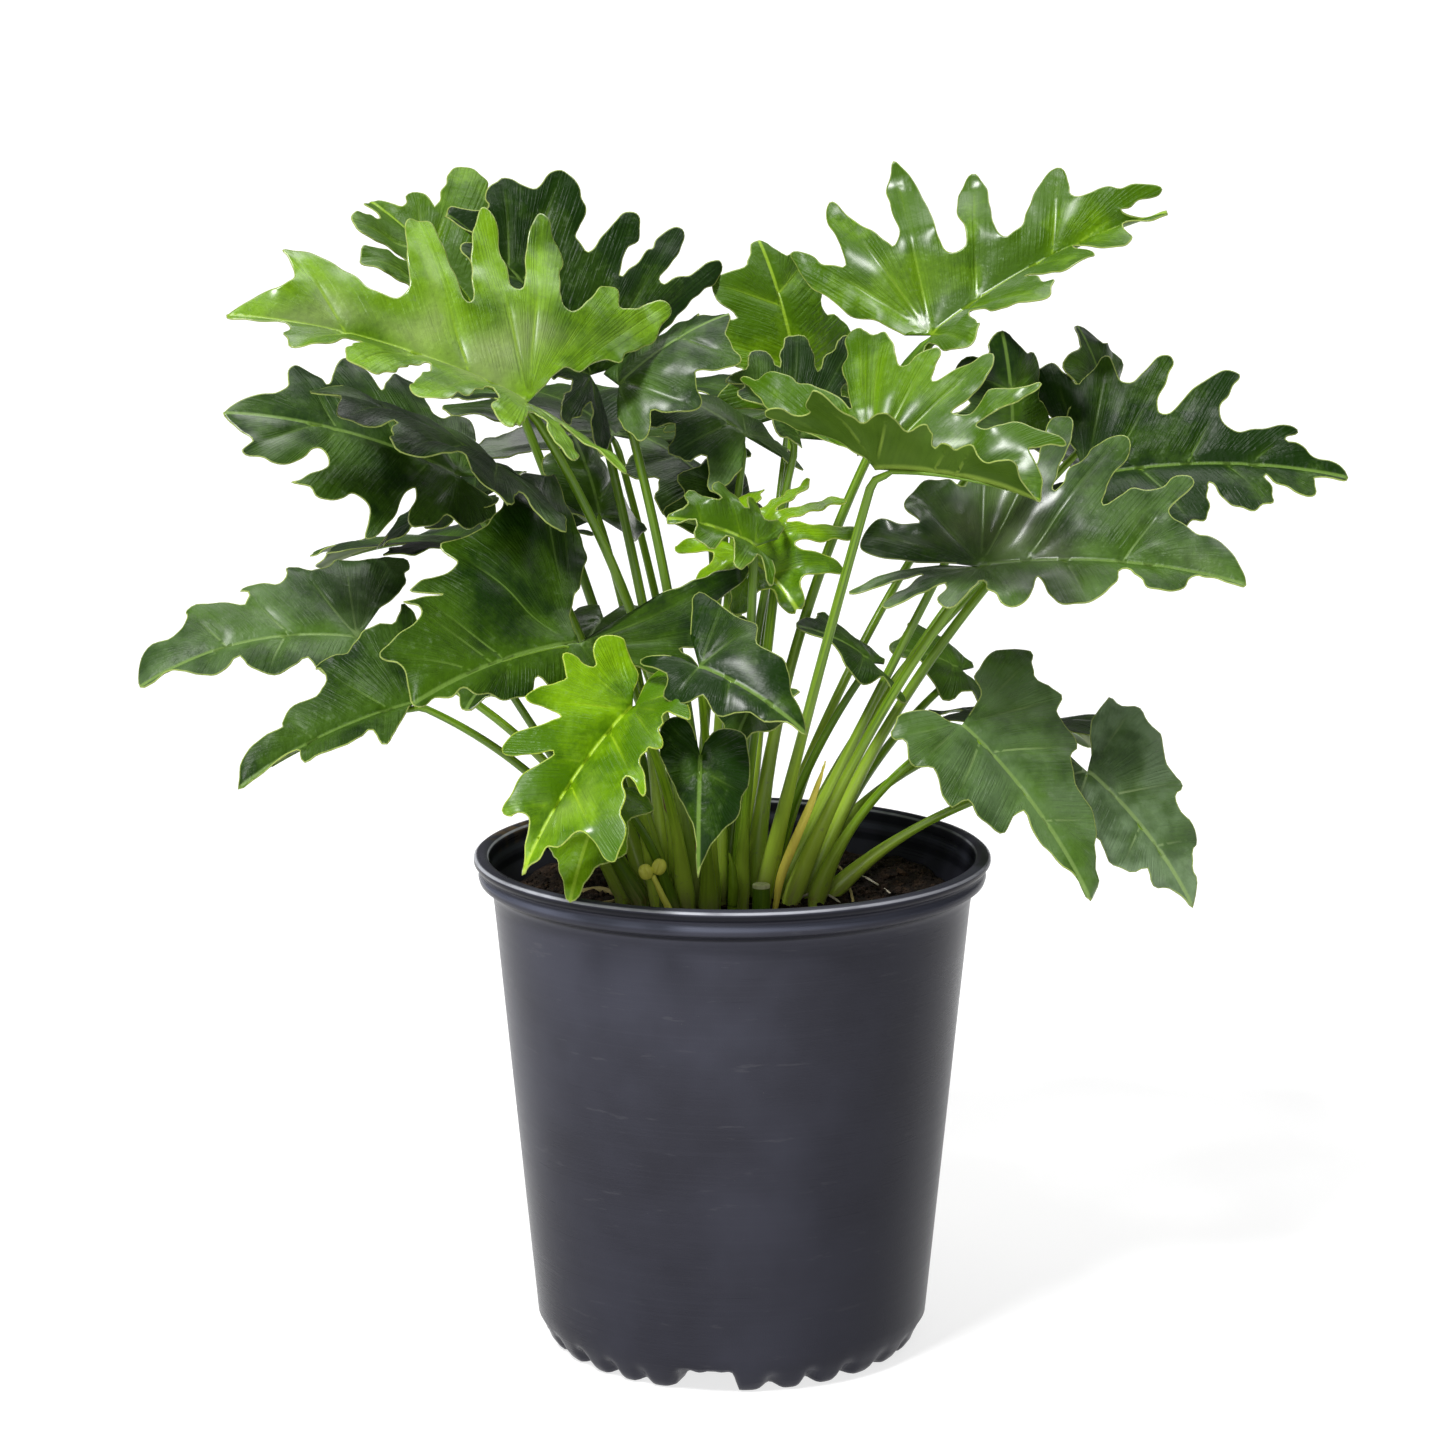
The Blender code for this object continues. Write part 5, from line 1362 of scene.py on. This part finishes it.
# Materials
def leaf_top(name, deep, light, edge, nerve, rough):
    """Upper skin: two greens in patches, quilted gloss, lines to the edge, pale veins and margin, with
    painted shade between the veins and painted pale sheen.
    """
    skin = Shader(name, light, rough, IOR=1.42, Specular_IOR_Level=0.16, Coat_Roughness=0.27)
    vein, rib, rim, ray = skin.values("vein", "rib", "rim", "ray")
    shade, grey, shine = skin.values("shade", "grey", "shine")
    patches = skin.noise(20.0, 4.0)
    mottle = skin.noise(210.0, 4.0, rough=0.7)
    flow = skin.node("ShaderNodeCombineXYZ", values={"X": ray, "Y": rim * 0.05})
    lines = skin.noise(1100.0, 1.5, where=flow).band(0.38, 0.62) * rib.band(0.002, 0.010)
    tone = patches.band(0.38, 0.62) * 0.90 + shade - 0.52 + (mottle - 0.5) * 1.0
    blotches = skin.noise(40.0, 5.0).band(0.40, 0.60, 0.35, 1.15)
    painted_sheen_mottle = mottle.band(0.57, 0.72) * patches.band(0.45, 0.60)
    gloss_and_painted_sheen = skin.noise(13.0, 2.0).band(0.38, 0.60)
    halo = vein.band(0.0, 0.005, 0.28, 0.0) * rim.band(0.0, 0.02)
    nerves = vein.band(0.0002, 0.0009, 0.70, 0.0) * rim.band(0.001, 0.03)
    margin = rim.band(0.00020, 0.00065, 0.9, 0.0) * patches.band(0.25, 0.55, 0.5, 1.0)
    colour = skin.coats(
        skin.mix(tone, deep, light),
        (lines * 0.20, deep),
        # painted shade: darker between the veins, away from them
        (vein.band(0.002, 0.012) * rib.band(0.004, 0.016) * 0.30, deep),
        (grey * blotches, GREYED_GREEN),
        # painted sheen: pale bluish-green mottles
        (painted_sheen_mottle * 0.30, (0.150, 0.200, 0.120)),
        # painted sheen: pale patches laid into the colour where the coat is glossy, on leaves whose shine is
        # above 1
        (gloss_and_painted_sheen * shine.band(1.0, 1.5, 0.0, 0.36) * rim.band(0.004, 0.022), (0.440, 0.520, 0.220)),
        (halo, light),
        (nerves, skin.mix(grey * 2.0, nerve, GREY_NERVE)),
        (rib.band(0.0005, 0.0014, 0.85, 0.0), skin.mix(grey * 0.8, nerve, GREY_NERVE)),
        (margin, edge),
    )
    height = (lines * 0.40 + skin.noise(1500.0, 2.0) * 0.20 + skin.cells(420.0) * 0.25
              + skin.noise(110.0, 3.0) * 2.2)
    return skin.feed(colour, rough + (patches - 0.5) * 0.18 + (mottle - 0.5) * 0.14, height, 0.0006, 0.9,
                     Coat_Weight=(gloss_and_painted_sheen * 0.75 + 0.03) * shine)


def leaf_under(name, deep, light, edge, nerve):
    """Underside: duller and greyer, with raised pale veins."""
    skin = Shader(name, light, 0.55, IOR=1.38, Specular_IOR_Level=0.2)
    vein, rib, rim, ray = skin.values("vein", "rib", "rim", "ray")
    flow = skin.node("ShaderNodeCombineXYZ", values={"X": ray, "Y": rim * 0.06})
    streaks = skin.noise(900.0, 2.0, where=flow)
    nerves = vein.band(0.0003, 0.0011, 0.8, 0.0) * rim.band(0.001, 0.015)
    colour = skin.coats(
        skin.mix(skin.noise(30.0, 4.0).band(0.3, 0.7) * 0.6 + (streaks - 0.5) * 0.6 + 0.2, deep, light),
        (nerves, nerve),
        (rib.band(0.001, 0.003, 1.0, 0.0), nerve),
        (rim.band(0.00015, 0.00055, 0.9, 0.0), edge),
    )
    return skin.feed(colour, 0.5 + (streaks - 0.5) * 0.2,
                     nerves + (streaks - 0.5) * 0.3 + skin.noise(600.0, 2.0) * 0.2, 0.0006, 0.9)


def stalk_skin():
    """Stalks: pale and streaked at the foot, green above, each a little paler or deeper than the next."""
    skin = Shader("stalk_skin", (0.10, 0.17, 0.02), 0.26, IOR=1.45)
    along, pale, run = skin.values("along", "pale", "run")
    turn = skin.node("ShaderNodeAttribute", {"attribute_name": "around"}, output="Vector")
    reach = skin.node("ShaderNodeCombineXYZ", values={"X": pale * 40, "Y": pale * 17, "Z": run * 9.0})
    wrap = skin.node("ShaderNodeVectorMath", {"operation": "ADD"}, {0: turn, 1: reach})
    streaks = skin.noise(2.6, 4.0, where=wrap)
    blots = skin.noise(170.0, 3.0, rough=0.7)
    colour = skin.coats(
        skin.mix(streaks.band(0.30, 0.70), (0.085, 0.180, 0.005), (0.220, 0.380, 0.014)),
        (pale.band(0.0, 1.0, 0.50, 0.0), (0.040, 0.095, 0.004)),
        (along.band(0.30, 0.95) * 0.30, (0.055, 0.120, 0.004)),
        (along.band(0.05, 0.40, 0.9, 0.0) * pale.band(0.05, 0.75), (0.460, 0.640, 0.060)),
        (along.band(0.02, 0.12, 0.75, 0.0) * streaks.band(0.35, 0.65), (0.300, 0.300, 0.120)),
        (along.band(0.01, 0.05, 0.7, 0.0) * blots.band(0.5, 0.6), (0.160, 0.085, 0.030)),
        (blots.band(0.62, 0.70) * 0.4, (0.170, 0.190, 0.090)),
    )
    return skin.feed(colour, 0.22 + streaks * 0.16, streaks + blots * 0.25, 0.0004, 0.6)


def pot_plastic():
    """Black moulded plastic: fine level streaks, scuffs, dust, a worn brown place on the rim; painted shade
    under the rim, low down and on the right, and painted highlights on the rim.
    """
    skin = Shader("pot_plastic_worn", (0.022, 0.022, 0.027), 0.3, IOR=1.36, Specular_IOR_Level=0.13)
    aside, depth, height = skin.place_parts()
    streaks = skin.noise(3.0, 5.0, stretch=(1.0, 1.0, 220.0))
    clouds = skin.noise(9.0, 4.0)
    dust = skin.noise(1400.0, 2.0)
    scuffs = skin.noise(40.0, 6.0, stretch=(1.0, 1.0, 6.0))
    worn = (height.band(0.236, 0.243) * aside.band(-0.104, -0.098, 1.0, 0.0) * depth.band(0.020, 0.032)
            * depth.band(0.062, 0.070, 1.0, 0.0))
    # painted shade: dark bands under the top bead and under the second bead
    painted_rim_shade = (height.between(0.2400, 0.2412, 0.2440, 0.2450)
                 + height.between(0.2300, 0.2312, 0.2334, 0.2350))
    # painted highlight: a bluish lighter band on the second bead
    painted_bead_highlight = height.between(0.2358, 0.2372, 0.2386, 0.2400)
    # painted highlight: a thin light line along the rim's top edge, broken up by the scuffs
    edge = height.between(0.2449, 0.2454, 0.2459, 0.2464) * scuffs.band(0.30, 0.55, 0.5, 1.0)
    shaded = height.band(0.02, 0.20, 0.35, 0.0) + aside.band(-0.01, 0.12, 0.0, 0.60)
    colour = skin.coats(
        skin.mix(clouds.band(0.3, 0.7), (0.029, 0.029, 0.038), (0.047, 0.048, 0.065)),
        (streaks.band(0.5, 0.72) * 0.10, (0.062, 0.062, 0.080)),
        (scuffs.band(0.62, 0.70) * 0.25, (0.090, 0.090, 0.100)),
        (dust.band(0.74, 0.80) * 0.5, (0.150, 0.140, 0.130)),
        (worn * skin.noise(110.0, 4.0).band(0.42, 0.56), (0.100, 0.070, 0.045)),
        (painted_rim_shade * 0.8, (0.005, 0.005, 0.007)),
        (painted_bead_highlight * 0.75, (0.085, 0.092, 0.125)),
        (edge, (0.400, 0.410, 0.450)),
        (shaded, (0.012, 0.012, 0.018)),
    )
    return skin.feed(colour, 0.29 + (streaks - 0.5) * 0.08 + (clouds - 0.5) * 0.18,
                     streaks * 0.14 + scuffs * 0.5 + dust * 0.24, 0.0004, 0.5)


def soil_skin(name, dark, brown, pale):
    """Potting soil: near black crumbs with brown fibre and a few pale grains."""
    skin = Shader(name, dark, 0.95, Specular_IOR_Level=0.2)
    lumps = skin.noise(160.0, 5.0)
    colour = skin.mix(lumps.band(0.40, 0.66), dark, brown)
    colour = skin.mix(skin.noise(420.0, 3.0).band(0.66, 0.74) * 0.7, colour, pale)
    return skin.feed(colour, 0.85 + lumps * 0.12,
                     lumps + skin.cells(700.0) * 0.5 + skin.noise(1500.0, 3.0) * 0.4, 0.0015, 1.0)


def dry_skin(name, pale, brown, rough):
    """Dry sheath, roots and buds: pale with brown streaks and spots."""
    skin = Shader(name, pale, rough)
    streaks = skin.noise(420.0, 3.0, stretch=(1.0, 1.0, 0.12))
    spots = skin.noise(260.0, 3.0)
    colour = skin.mix(streaks.band(0.42, 0.72) * 0.5, pale, brown)
    colour = skin.mix(spots.band(0.62, 0.72) * 0.6, colour, brown)
    return skin.feed(colour, rough + (streaks - 0.5) * 0.2, streaks + spots * 0.3, 0.0004, 0.8)


def make_materials():
    """All materials by their short names; a leaf tone has a top and an underside."""
    made = {"stalk": stalk_skin(), "pot": pot_plastic()}
    for tone, (top, under) in LEAF_TONES.items():
        made[tone] = leaf_top(tone + "_top", *top)
        made[tone + "_under"] = leaf_under(tone + "_underside", *under)
    for maker, skins in ((soil_skin, SOIL_SKINS), (dry_skin, DRY_SKINS)):
        made.update({key: maker(*values) for key, values in skins.items()})
    return made


# Pot, soil and small things
def body_radius(height):
    """Outer radius of the pot's plain wall at a height."""
    return BODY_FOOT_RADIUS + (BODY_TOP_RADIUS - BODY_FOOT_RADIUS) * height / (POT_HEIGHT - WALL_DROP)


def pot_section():
    """Section of the pot, smooth where the plastic is rounded: outside down to the centre, inside back up."""
    top = POT_HEIGHT
    rim = [(RIM_RADIUS - inset, top - drop) for inset, drop in RIM_PROFILE]
    body = [(body_radius(top - WALL_DROP), top - 0.0245)]
    body += [(body_radius(z), z) for z in np.linspace(top - 0.032, 0.020, 14)]
    foot = [(body_radius(0.014), 0.014), (BODY_FOOT_RADIUS - 0.0010, 0.0095),
            (BODY_FOOT_RADIUS - 0.0026, 0.0055), (FOOT_RADIUS + 0.0018, 0.0020),
            (FOOT_RADIUS, 0.0004), (FOOT_RADIUS - 0.0020, 0.0),
            (FOOT_RADIUS - 0.010, 0.0), (FOOT_RADIUS - 0.0125, 0.0012), (FOOT_RADIUS - 0.016, FLOOR_LIFT),
            (PAD_RADIUS + 0.008, FLOOR_LIFT), (PAD_RADIUS + 0.002, 0.001), (PAD_RADIUS, 0.0)]
    inside = [(PAD_RADIUS - 0.001, WALL), (PAD_RADIUS + 0.007, FLOOR_LIFT + WALL),
              (FOOT_RADIUS - 0.015, FLOOR_LIFT + WALL), (FOOT_RADIUS - 0.0035, NOTCH_LIFT + WALL),
              (BODY_FOOT_RADIUS - 0.0040, NOTCH_LIFT + 0.005), (body_radius(0.020) - WALL, 0.020)]
    inside += [(body_radius(z) - WALL, z) for z in (*np.linspace(0.04, top - 0.030, 6), top - 0.026)]
    inside += [(RIM_RADIUS - inset, top - drop) for inset, drop in RIM_INSIDE]
    return rim + body + foot, inside


def unit(value):
    """The value kept between 0 and 1."""
    return min(max(value, 0.0), 1.0)


def make_pot(materials):
    """The pot: a turned wall whose foot is lifted in wide notches and pinched into small lugs."""
    outside, inside = pot_section()
    ring = outside + inside
    rows = len(ring)
    wobble = smooth_noise(random.Random(POT_SEED), WOBBLE_STEP)
    places, walls, caps = [], [], []
    for k in range(POT_STEPS):
        angle = 2 * math.pi * k / POT_STEPS
        half = math.pi / POT_NOTCHES
        turn = (angle - NOTCH_START + half) % (2 * math.pi / POT_NOTCHES) - half
        notch = unit((NOTCH_HALF + NOTCH_SLOPE - abs(turn)) / NOTCH_SLOPE)
        notch = notch * notch * (3 - 2 * notch)
        ragged = math.sin(angle * 3 + 0.7) * 0.6 + math.sin(angle * 7 + 2.0) * 0.4
        lug = 0.5 + 0.5 * math.cos(LUGS * (angle - NOTCH_START) + 1.3 * ragged)
        size = 0.85 + 0.35 * math.sin(angle * 5 + 1.1)
        roof = NOTCH_LIFT * (NOTCH_PART + 0.08 * wobble(angle * 5))
        uneven = math.sin(angle * 1.0 + 1.0) * 0.2 + math.sin(angle * 3.0) * 0.15 + wobble(angle) * 0.12
        for j, (radius, z) in enumerate(ring):
            low = unit(1 - z / LUG_HEIGHT)
            if j >= len(outside):
                if radius > FOOT_RADIUS - FOOT_RING and z < roof + WALL:
                    z += (roof + WALL - z) * notch
                low = 0.0
            if radius > FOOT_RADIUS - FOOT_INNER and low > 0:
                rise = roof if radius > FOOT_RADIUS - FOOT_RING else FLOOR_LIFT
                radius -= LUG_PINCH * ((1 - lug) ** 3 * low * (1 - notch) * size)
                if z < rise:
                    z += LUG_RISE * size * (1 - lug) ** 2 * (1 - notch) if z < NOTCH_LIFT else 0.0
                    z += max(rise - z, 0.0) * notch
            sway = uneven * RIM_SWAY * unit((z - SWAY_FROM) / SWAY_SPAN)
            radius, z = radius + sway, z + sway
            places.append((radius * math.cos(angle), radius * math.sin(angle), z))
        here, there = k * rows, (k + 1) % POT_STEPS * rows
        last = len(outside) - 1
        walls += [(here + j, here + (j + 1) % rows, there + (j + 1) % rows, there + j)
                  for j in range(rows) if j != last]
        caps += [(here + last, POT_STEPS * rows, there + last),
                 (here + last + 1, there + last + 1, POT_STEPS * rows + 1)]
    places += [(0.0, 0.0, 0.0), (0.0, 0.0, WALL)]
    mesh = new_mesh("fine_pot", places, [], walls + caps)
    weld(mesh, SHELL_WELD)
    hold(new_piece("fine_pot", mesh, materials["pot"]), "pot_plastic", "pot")


def soil_height(x, y):
    """The soil's uneven top: the part's slow swell and smaller lumps."""
    u, v = x / SOIL_WAVE, y / SOIL_WAVE
    slow = SOIL_SWELL * (math.sin(1.3 * u + 0.4) * math.cos(1.1 * v) + math.sin(2.1 * v + u)) / 2
    lumps = [noise.noise(Vector((x, y, 0.3)) * scale) * height for scale, height in SOIL_LUMPS]
    return SOIL_TOP + slow + lumps[0] + lumps[1]


def soil_top(reach):
    """Places and faces of the soil's top surface, a round sheet that faces up."""
    places = [(0.0, 0.0, soil_height(0.0, 0.0))]
    faces = []
    for ring in range(1, SOIL_RINGS + 1):
        spots = circle(reach * ring / SOIL_RINGS, SOIL_TOP, SOIL_STEPS)
        places += [(x, y, soil_height(x, y)) for x, y, _ in spots]
    for k in range(SOIL_STEPS):
        after = (k + 1) % SOIL_STEPS
        faces.append((0, 1 + k, 1 + after))
        for ring in range(SOIL_RINGS - 1):
            low, high = 1 + ring * SOIL_STEPS, 1 + (ring + 1) * SOIL_STEPS
            faces.append((low + k, high + k, high + after, low + after))
    return places, faces


def make_soil(materials, scatter):
    """The soil body with a lumpy top, and crumbs, grains and bits of bark strewn over it."""
    wall = WALL + SOIL_GAP
    reach = body_radius(SOIL_TOP) - WALL - SOIL_GAP
    places, faces = soil_top(reach)
    last = len(places) - SOIL_STEPS
    lower = ((body_radius(0.0205) - wall, 0.0205), (BODY_FOOT_RADIUS - 0.0046, NOTCH_LIFT + 0.0056),
             (FOOT_RADIUS - 0.0040, NOTCH_LIFT + wall + 0.0004),
             (FOOT_RADIUS - 0.0150, FLOOR_LIFT + wall + 0.0004))
    for radius, z in lower:
        first = len(places)
        places += circle(radius, z, SOIL_STEPS)
        for k in range(SOIL_STEPS):
            after = (k + 1) % SOIL_STEPS
            faces.append((last + k, first + k, first + after, last + after))
        last = first
    faces.append(tuple(range(last, last + SOIL_STEPS)))
    mesh = new_mesh("fine_soil", places, [], faces)
    weld(mesh, SHELL_WELD)
    hold(new_piece("fine_soil", mesh, materials["soil"]), "potting_soil", "soil")
    places, faces = soil_top(reach - CRUMB_EDGE)
    for name, material, density, smallest, largest, flatness, seed in STREWN:
        sheet = new_piece(name, new_mesh(name, places, [], faces))
        run_tree(sheet, scatter, {"Density": density, "Smallest": smallest, "Largest": largest,
                                  "Flatness": flatness, "Seed": seed, "Material": materials[material]})
        hold(sheet, "potting_soil")


def on_soil(x, y, lift):
    """A place in mm on the soil's top, lifted by a little."""
    return (x, y, soil_height(x * MM, y * MM) / MM + lift)


def strip(name, line, width, fold, material, twist=0.0):
    """A long narrow folded strip along a line of (place, width part): sheath, shoot tip or scrap."""
    rows = catmull(line, 8)
    places, faces = [], []
    for k, row in enumerate(rows):
        ahead = Vector(rows[min(k + 1, len(rows) - 1)][:3]) - Vector(rows[max(k - 1, 0)][:3])
        ahead.normalize()
        side = ahead.cross(Vector((math.sin(twist * k), -math.cos(twist * k), 0.1))).normalized()
        out = side.cross(ahead)
        for j in range(STRIP_ACROSS + 1):
            part = j / STRIP_ACROSS * 2 - 1
            bend = fold * (1 - abs(part)) * width * row[3]
            ripple = 0.12 * width * math.sin(k * 0.9 + part * 2) * abs(part)
            place = Vector(row[:3]) + side * part * width * row[3] + out * (bend + ripple)
            places.append(tuple(place * MM))
    for k in range(len(rows) - 1):
        for j in range(STRIP_ACROSS):
            a = k * (STRIP_ACROSS + 1) + j
            faces.append((a, a + 1, a + STRIP_ACROSS + 2, a + STRIP_ACROSS + 1))
    obj = new_piece(name, new_mesh(name, places, [], faces), material)
    thicken(obj, STRIP_THICK)
    weld(obj.data, SHELL_WELD)
    return obj


def round_bud(name, centre, size, lean, material):
    """A plump flattened bud with a shallow cleft down its face."""
    mesh = bpy.data.meshes.new(name)
    ball = bmesh.new()
    bmesh.ops.create_icosphere(ball, subdivisions=4, radius=1.0)
    for vertex in ball.verts:
        x, y, z = vertex.co
        cleft = math.exp(-(x / 0.16) ** 2) * max(-y, 0) * 0.28
        vertex.co = Vector((x * 0.88, y * (0.62 - cleft), z * (1.0 + 0.12 * abs(x)))) * size
        vertex.co.rotate(Euler((0.0, lean, 0.0)))
        vertex.co += Vector(centre)
        vertex.co *= MM
    ball.to_mesh(mesh)
    ball.free()
    return new_piece(name, mesh, material)


def make_small_pieces(materials, tree):
    """Dry sheath, cut stub, young shoot, buds, roots and dry scraps at the crown."""

    def small_stem(name, material, sides, part=1.0):
        """A small stem that reaches down into the soil."""
        (x, y, _), radius = SMALL_STEMS[name][0]
        points = [((x, y, (SOIL_TOP - STEM_SINK) / MM), radius), *SMALL_STEMS[name]]
        line = smooth_line([(place, radius * part) for place, radius in points])
        return stem("fine_" + name, line, materials[material], tree, sides)

    sheath = small_stem("dry_sheath", "sheath", 12, 0.6)
    blade = strip("sheath_blade", SHEATH_BLADE, 2.1, 0.55, materials["sheath"])
    hold(join_pieces(sheath, blade), "dry_sheath", "dry_sheath")

    stub = small_stem("cut_stub", "stalk", 28)
    store(stub.data, shade=0.5)
    x, y, _ = SMALL_STEMS["cut_stub"][-1][0]
    end = [(Vector((x, y, z)) * MM, radius * MM, 1.0) for z, radius in STUB_TOP]
    hold(join_pieces(stub, stem("stub_top", end, materials["cut"], tree, 28)), "leaf_dark", "cut_stub")

    shoot = small_stem("young_shoot", "leaf_lime_under", 14)
    tip = strip("shoot_tip", SHOOT_TIP, 2.3, 0.9, materials["leaf_lime_under"])
    for piece in (shoot, tip):
        store(piece.data, vein=0.02, rib=0.02, rim=0.02, ray=0.0)
    hold(join_pieces(shoot, tip), "leaf_lime", "young_shoot")

    stalk = small_stem("bud_stalk", "bud", 12)
    end = Vector(SMALL_STEMS["bud_stalk"][-1][0])
    buds = [round_bud("bud_left", end + Vector((-3.4, -0.5, 1.8)), 3.9, -0.35, materials["bud"]),
            round_bud("bud_right", end + Vector((3.0, 0.0, 4.2)), 4.0, 0.3, materials["bud"])]
    hold(join_pieces(stalk, *buds), "dry_sheath", "bud_stalk")

    for name, material, radius, points in ROOTS:
        line = smooth_line([(on_soil(*point), radius) for point in points], 8)
        line = [(place, size * (1.15 - 0.4 * part), part) for place, size, part in line]
        hold(stem(name, line, materials[material], tree, 8), "dry_sheath")
    for number, line in enumerate(SCRAPS, 1):
        hold(strip("dry_scrap_%d" % number, line, 1.9, 0.3, materials["scrap"], 0.12), "dry_sheath")


# Floor, light and camera
def add_lamp(name, kind, energy, way, **settings):
    """A lamp that stands in a direction and shines back from it."""
    light = bpy.data.lights.new(name, kind)
    light.energy = energy
    for key, value in settings.items():
        setattr(light, key, value)
    lamp = bpy.data.objects.new(name, light)
    lamp.rotation_euler = Vector(way).to_track_quat("Z", "Y").to_euler()
    bpy.context.scene.collection.objects.link(lamp)
    return lamp


def make_stage():
    """A plain pale floor, soft light from above and around, and the camera."""
    pale = Shader("pale_floor", (0.35, 0.35, 0.35), 0.9, Specular_IOR_Level=0.0, Emission_Strength=0.75,
                  Emission_Color=WHITE)
    mesh = new_mesh("floor", circle(FLOOR_REACH, -FLOOR_DROP, FLOOR_SIDES), [], [tuple(range(FLOOR_SIDES))])
    floor = new_piece("floor", mesh, pale.material)

    scene = bpy.context.scene
    scene.world = bpy.data.worlds.new("soft_studio")
    scene.world.use_nodes = True
    background = scene.world.node_tree.nodes["Background"].inputs
    background["Color"].default_value = WHITE
    background["Strength"].default_value = WORLD_STRENGTH
    for name, way, width, energy in SUNS:
        add_lamp(name, "SUN", energy, way, angle=math.radians(width))
    for name, place, (width, depth), energy in SOFT_BOXES:
        box = add_lamp(name, "AREA", energy, Vector(place) - Vector(LIGHT_AIM), shape="RECTANGLE",
                       size=width, size_y=depth)
        box.location = place

    lens = bpy.data.cameras.new("photo_camera")
    lens.sensor_width = SENSOR
    lens.lens = SENSOR * FOCAL_PIXELS / PHOTO_PIXELS
    camera = bpy.data.objects.new("photo_camera", lens)
    camera.location = CAMERA_PLACE
    camera.rotation_euler = (math.radians(90 - CAMERA_DOWN), 0.0, 0.0)
    scene.collection.objects.link(camera)
    scene.camera = camera
    scene.view_settings.view_transform = "Standard"


def main():
    """Makes everything."""
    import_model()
    materials = make_materials()
    sweep, scatter = sweep_tree(), crumb_tree()
    make_stage()
    make_pot(materials)
    make_soil(materials, scatter)
    make_small_pieces(materials, sweep)
    fixed = [Vector(points[0][0][:2]) * MM for points in SMALL_STEMS.values()]
    feet = spread_feet(fixed + [wanted_foot(leaf) for leaf in LEAVES], len(fixed))
    for number, (leaf, foot) in enumerate(zip(LEAVES, feet[len(fixed):])):
        make_leaf(leaf, foot, number + 1, materials, sweep)
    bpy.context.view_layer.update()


main()
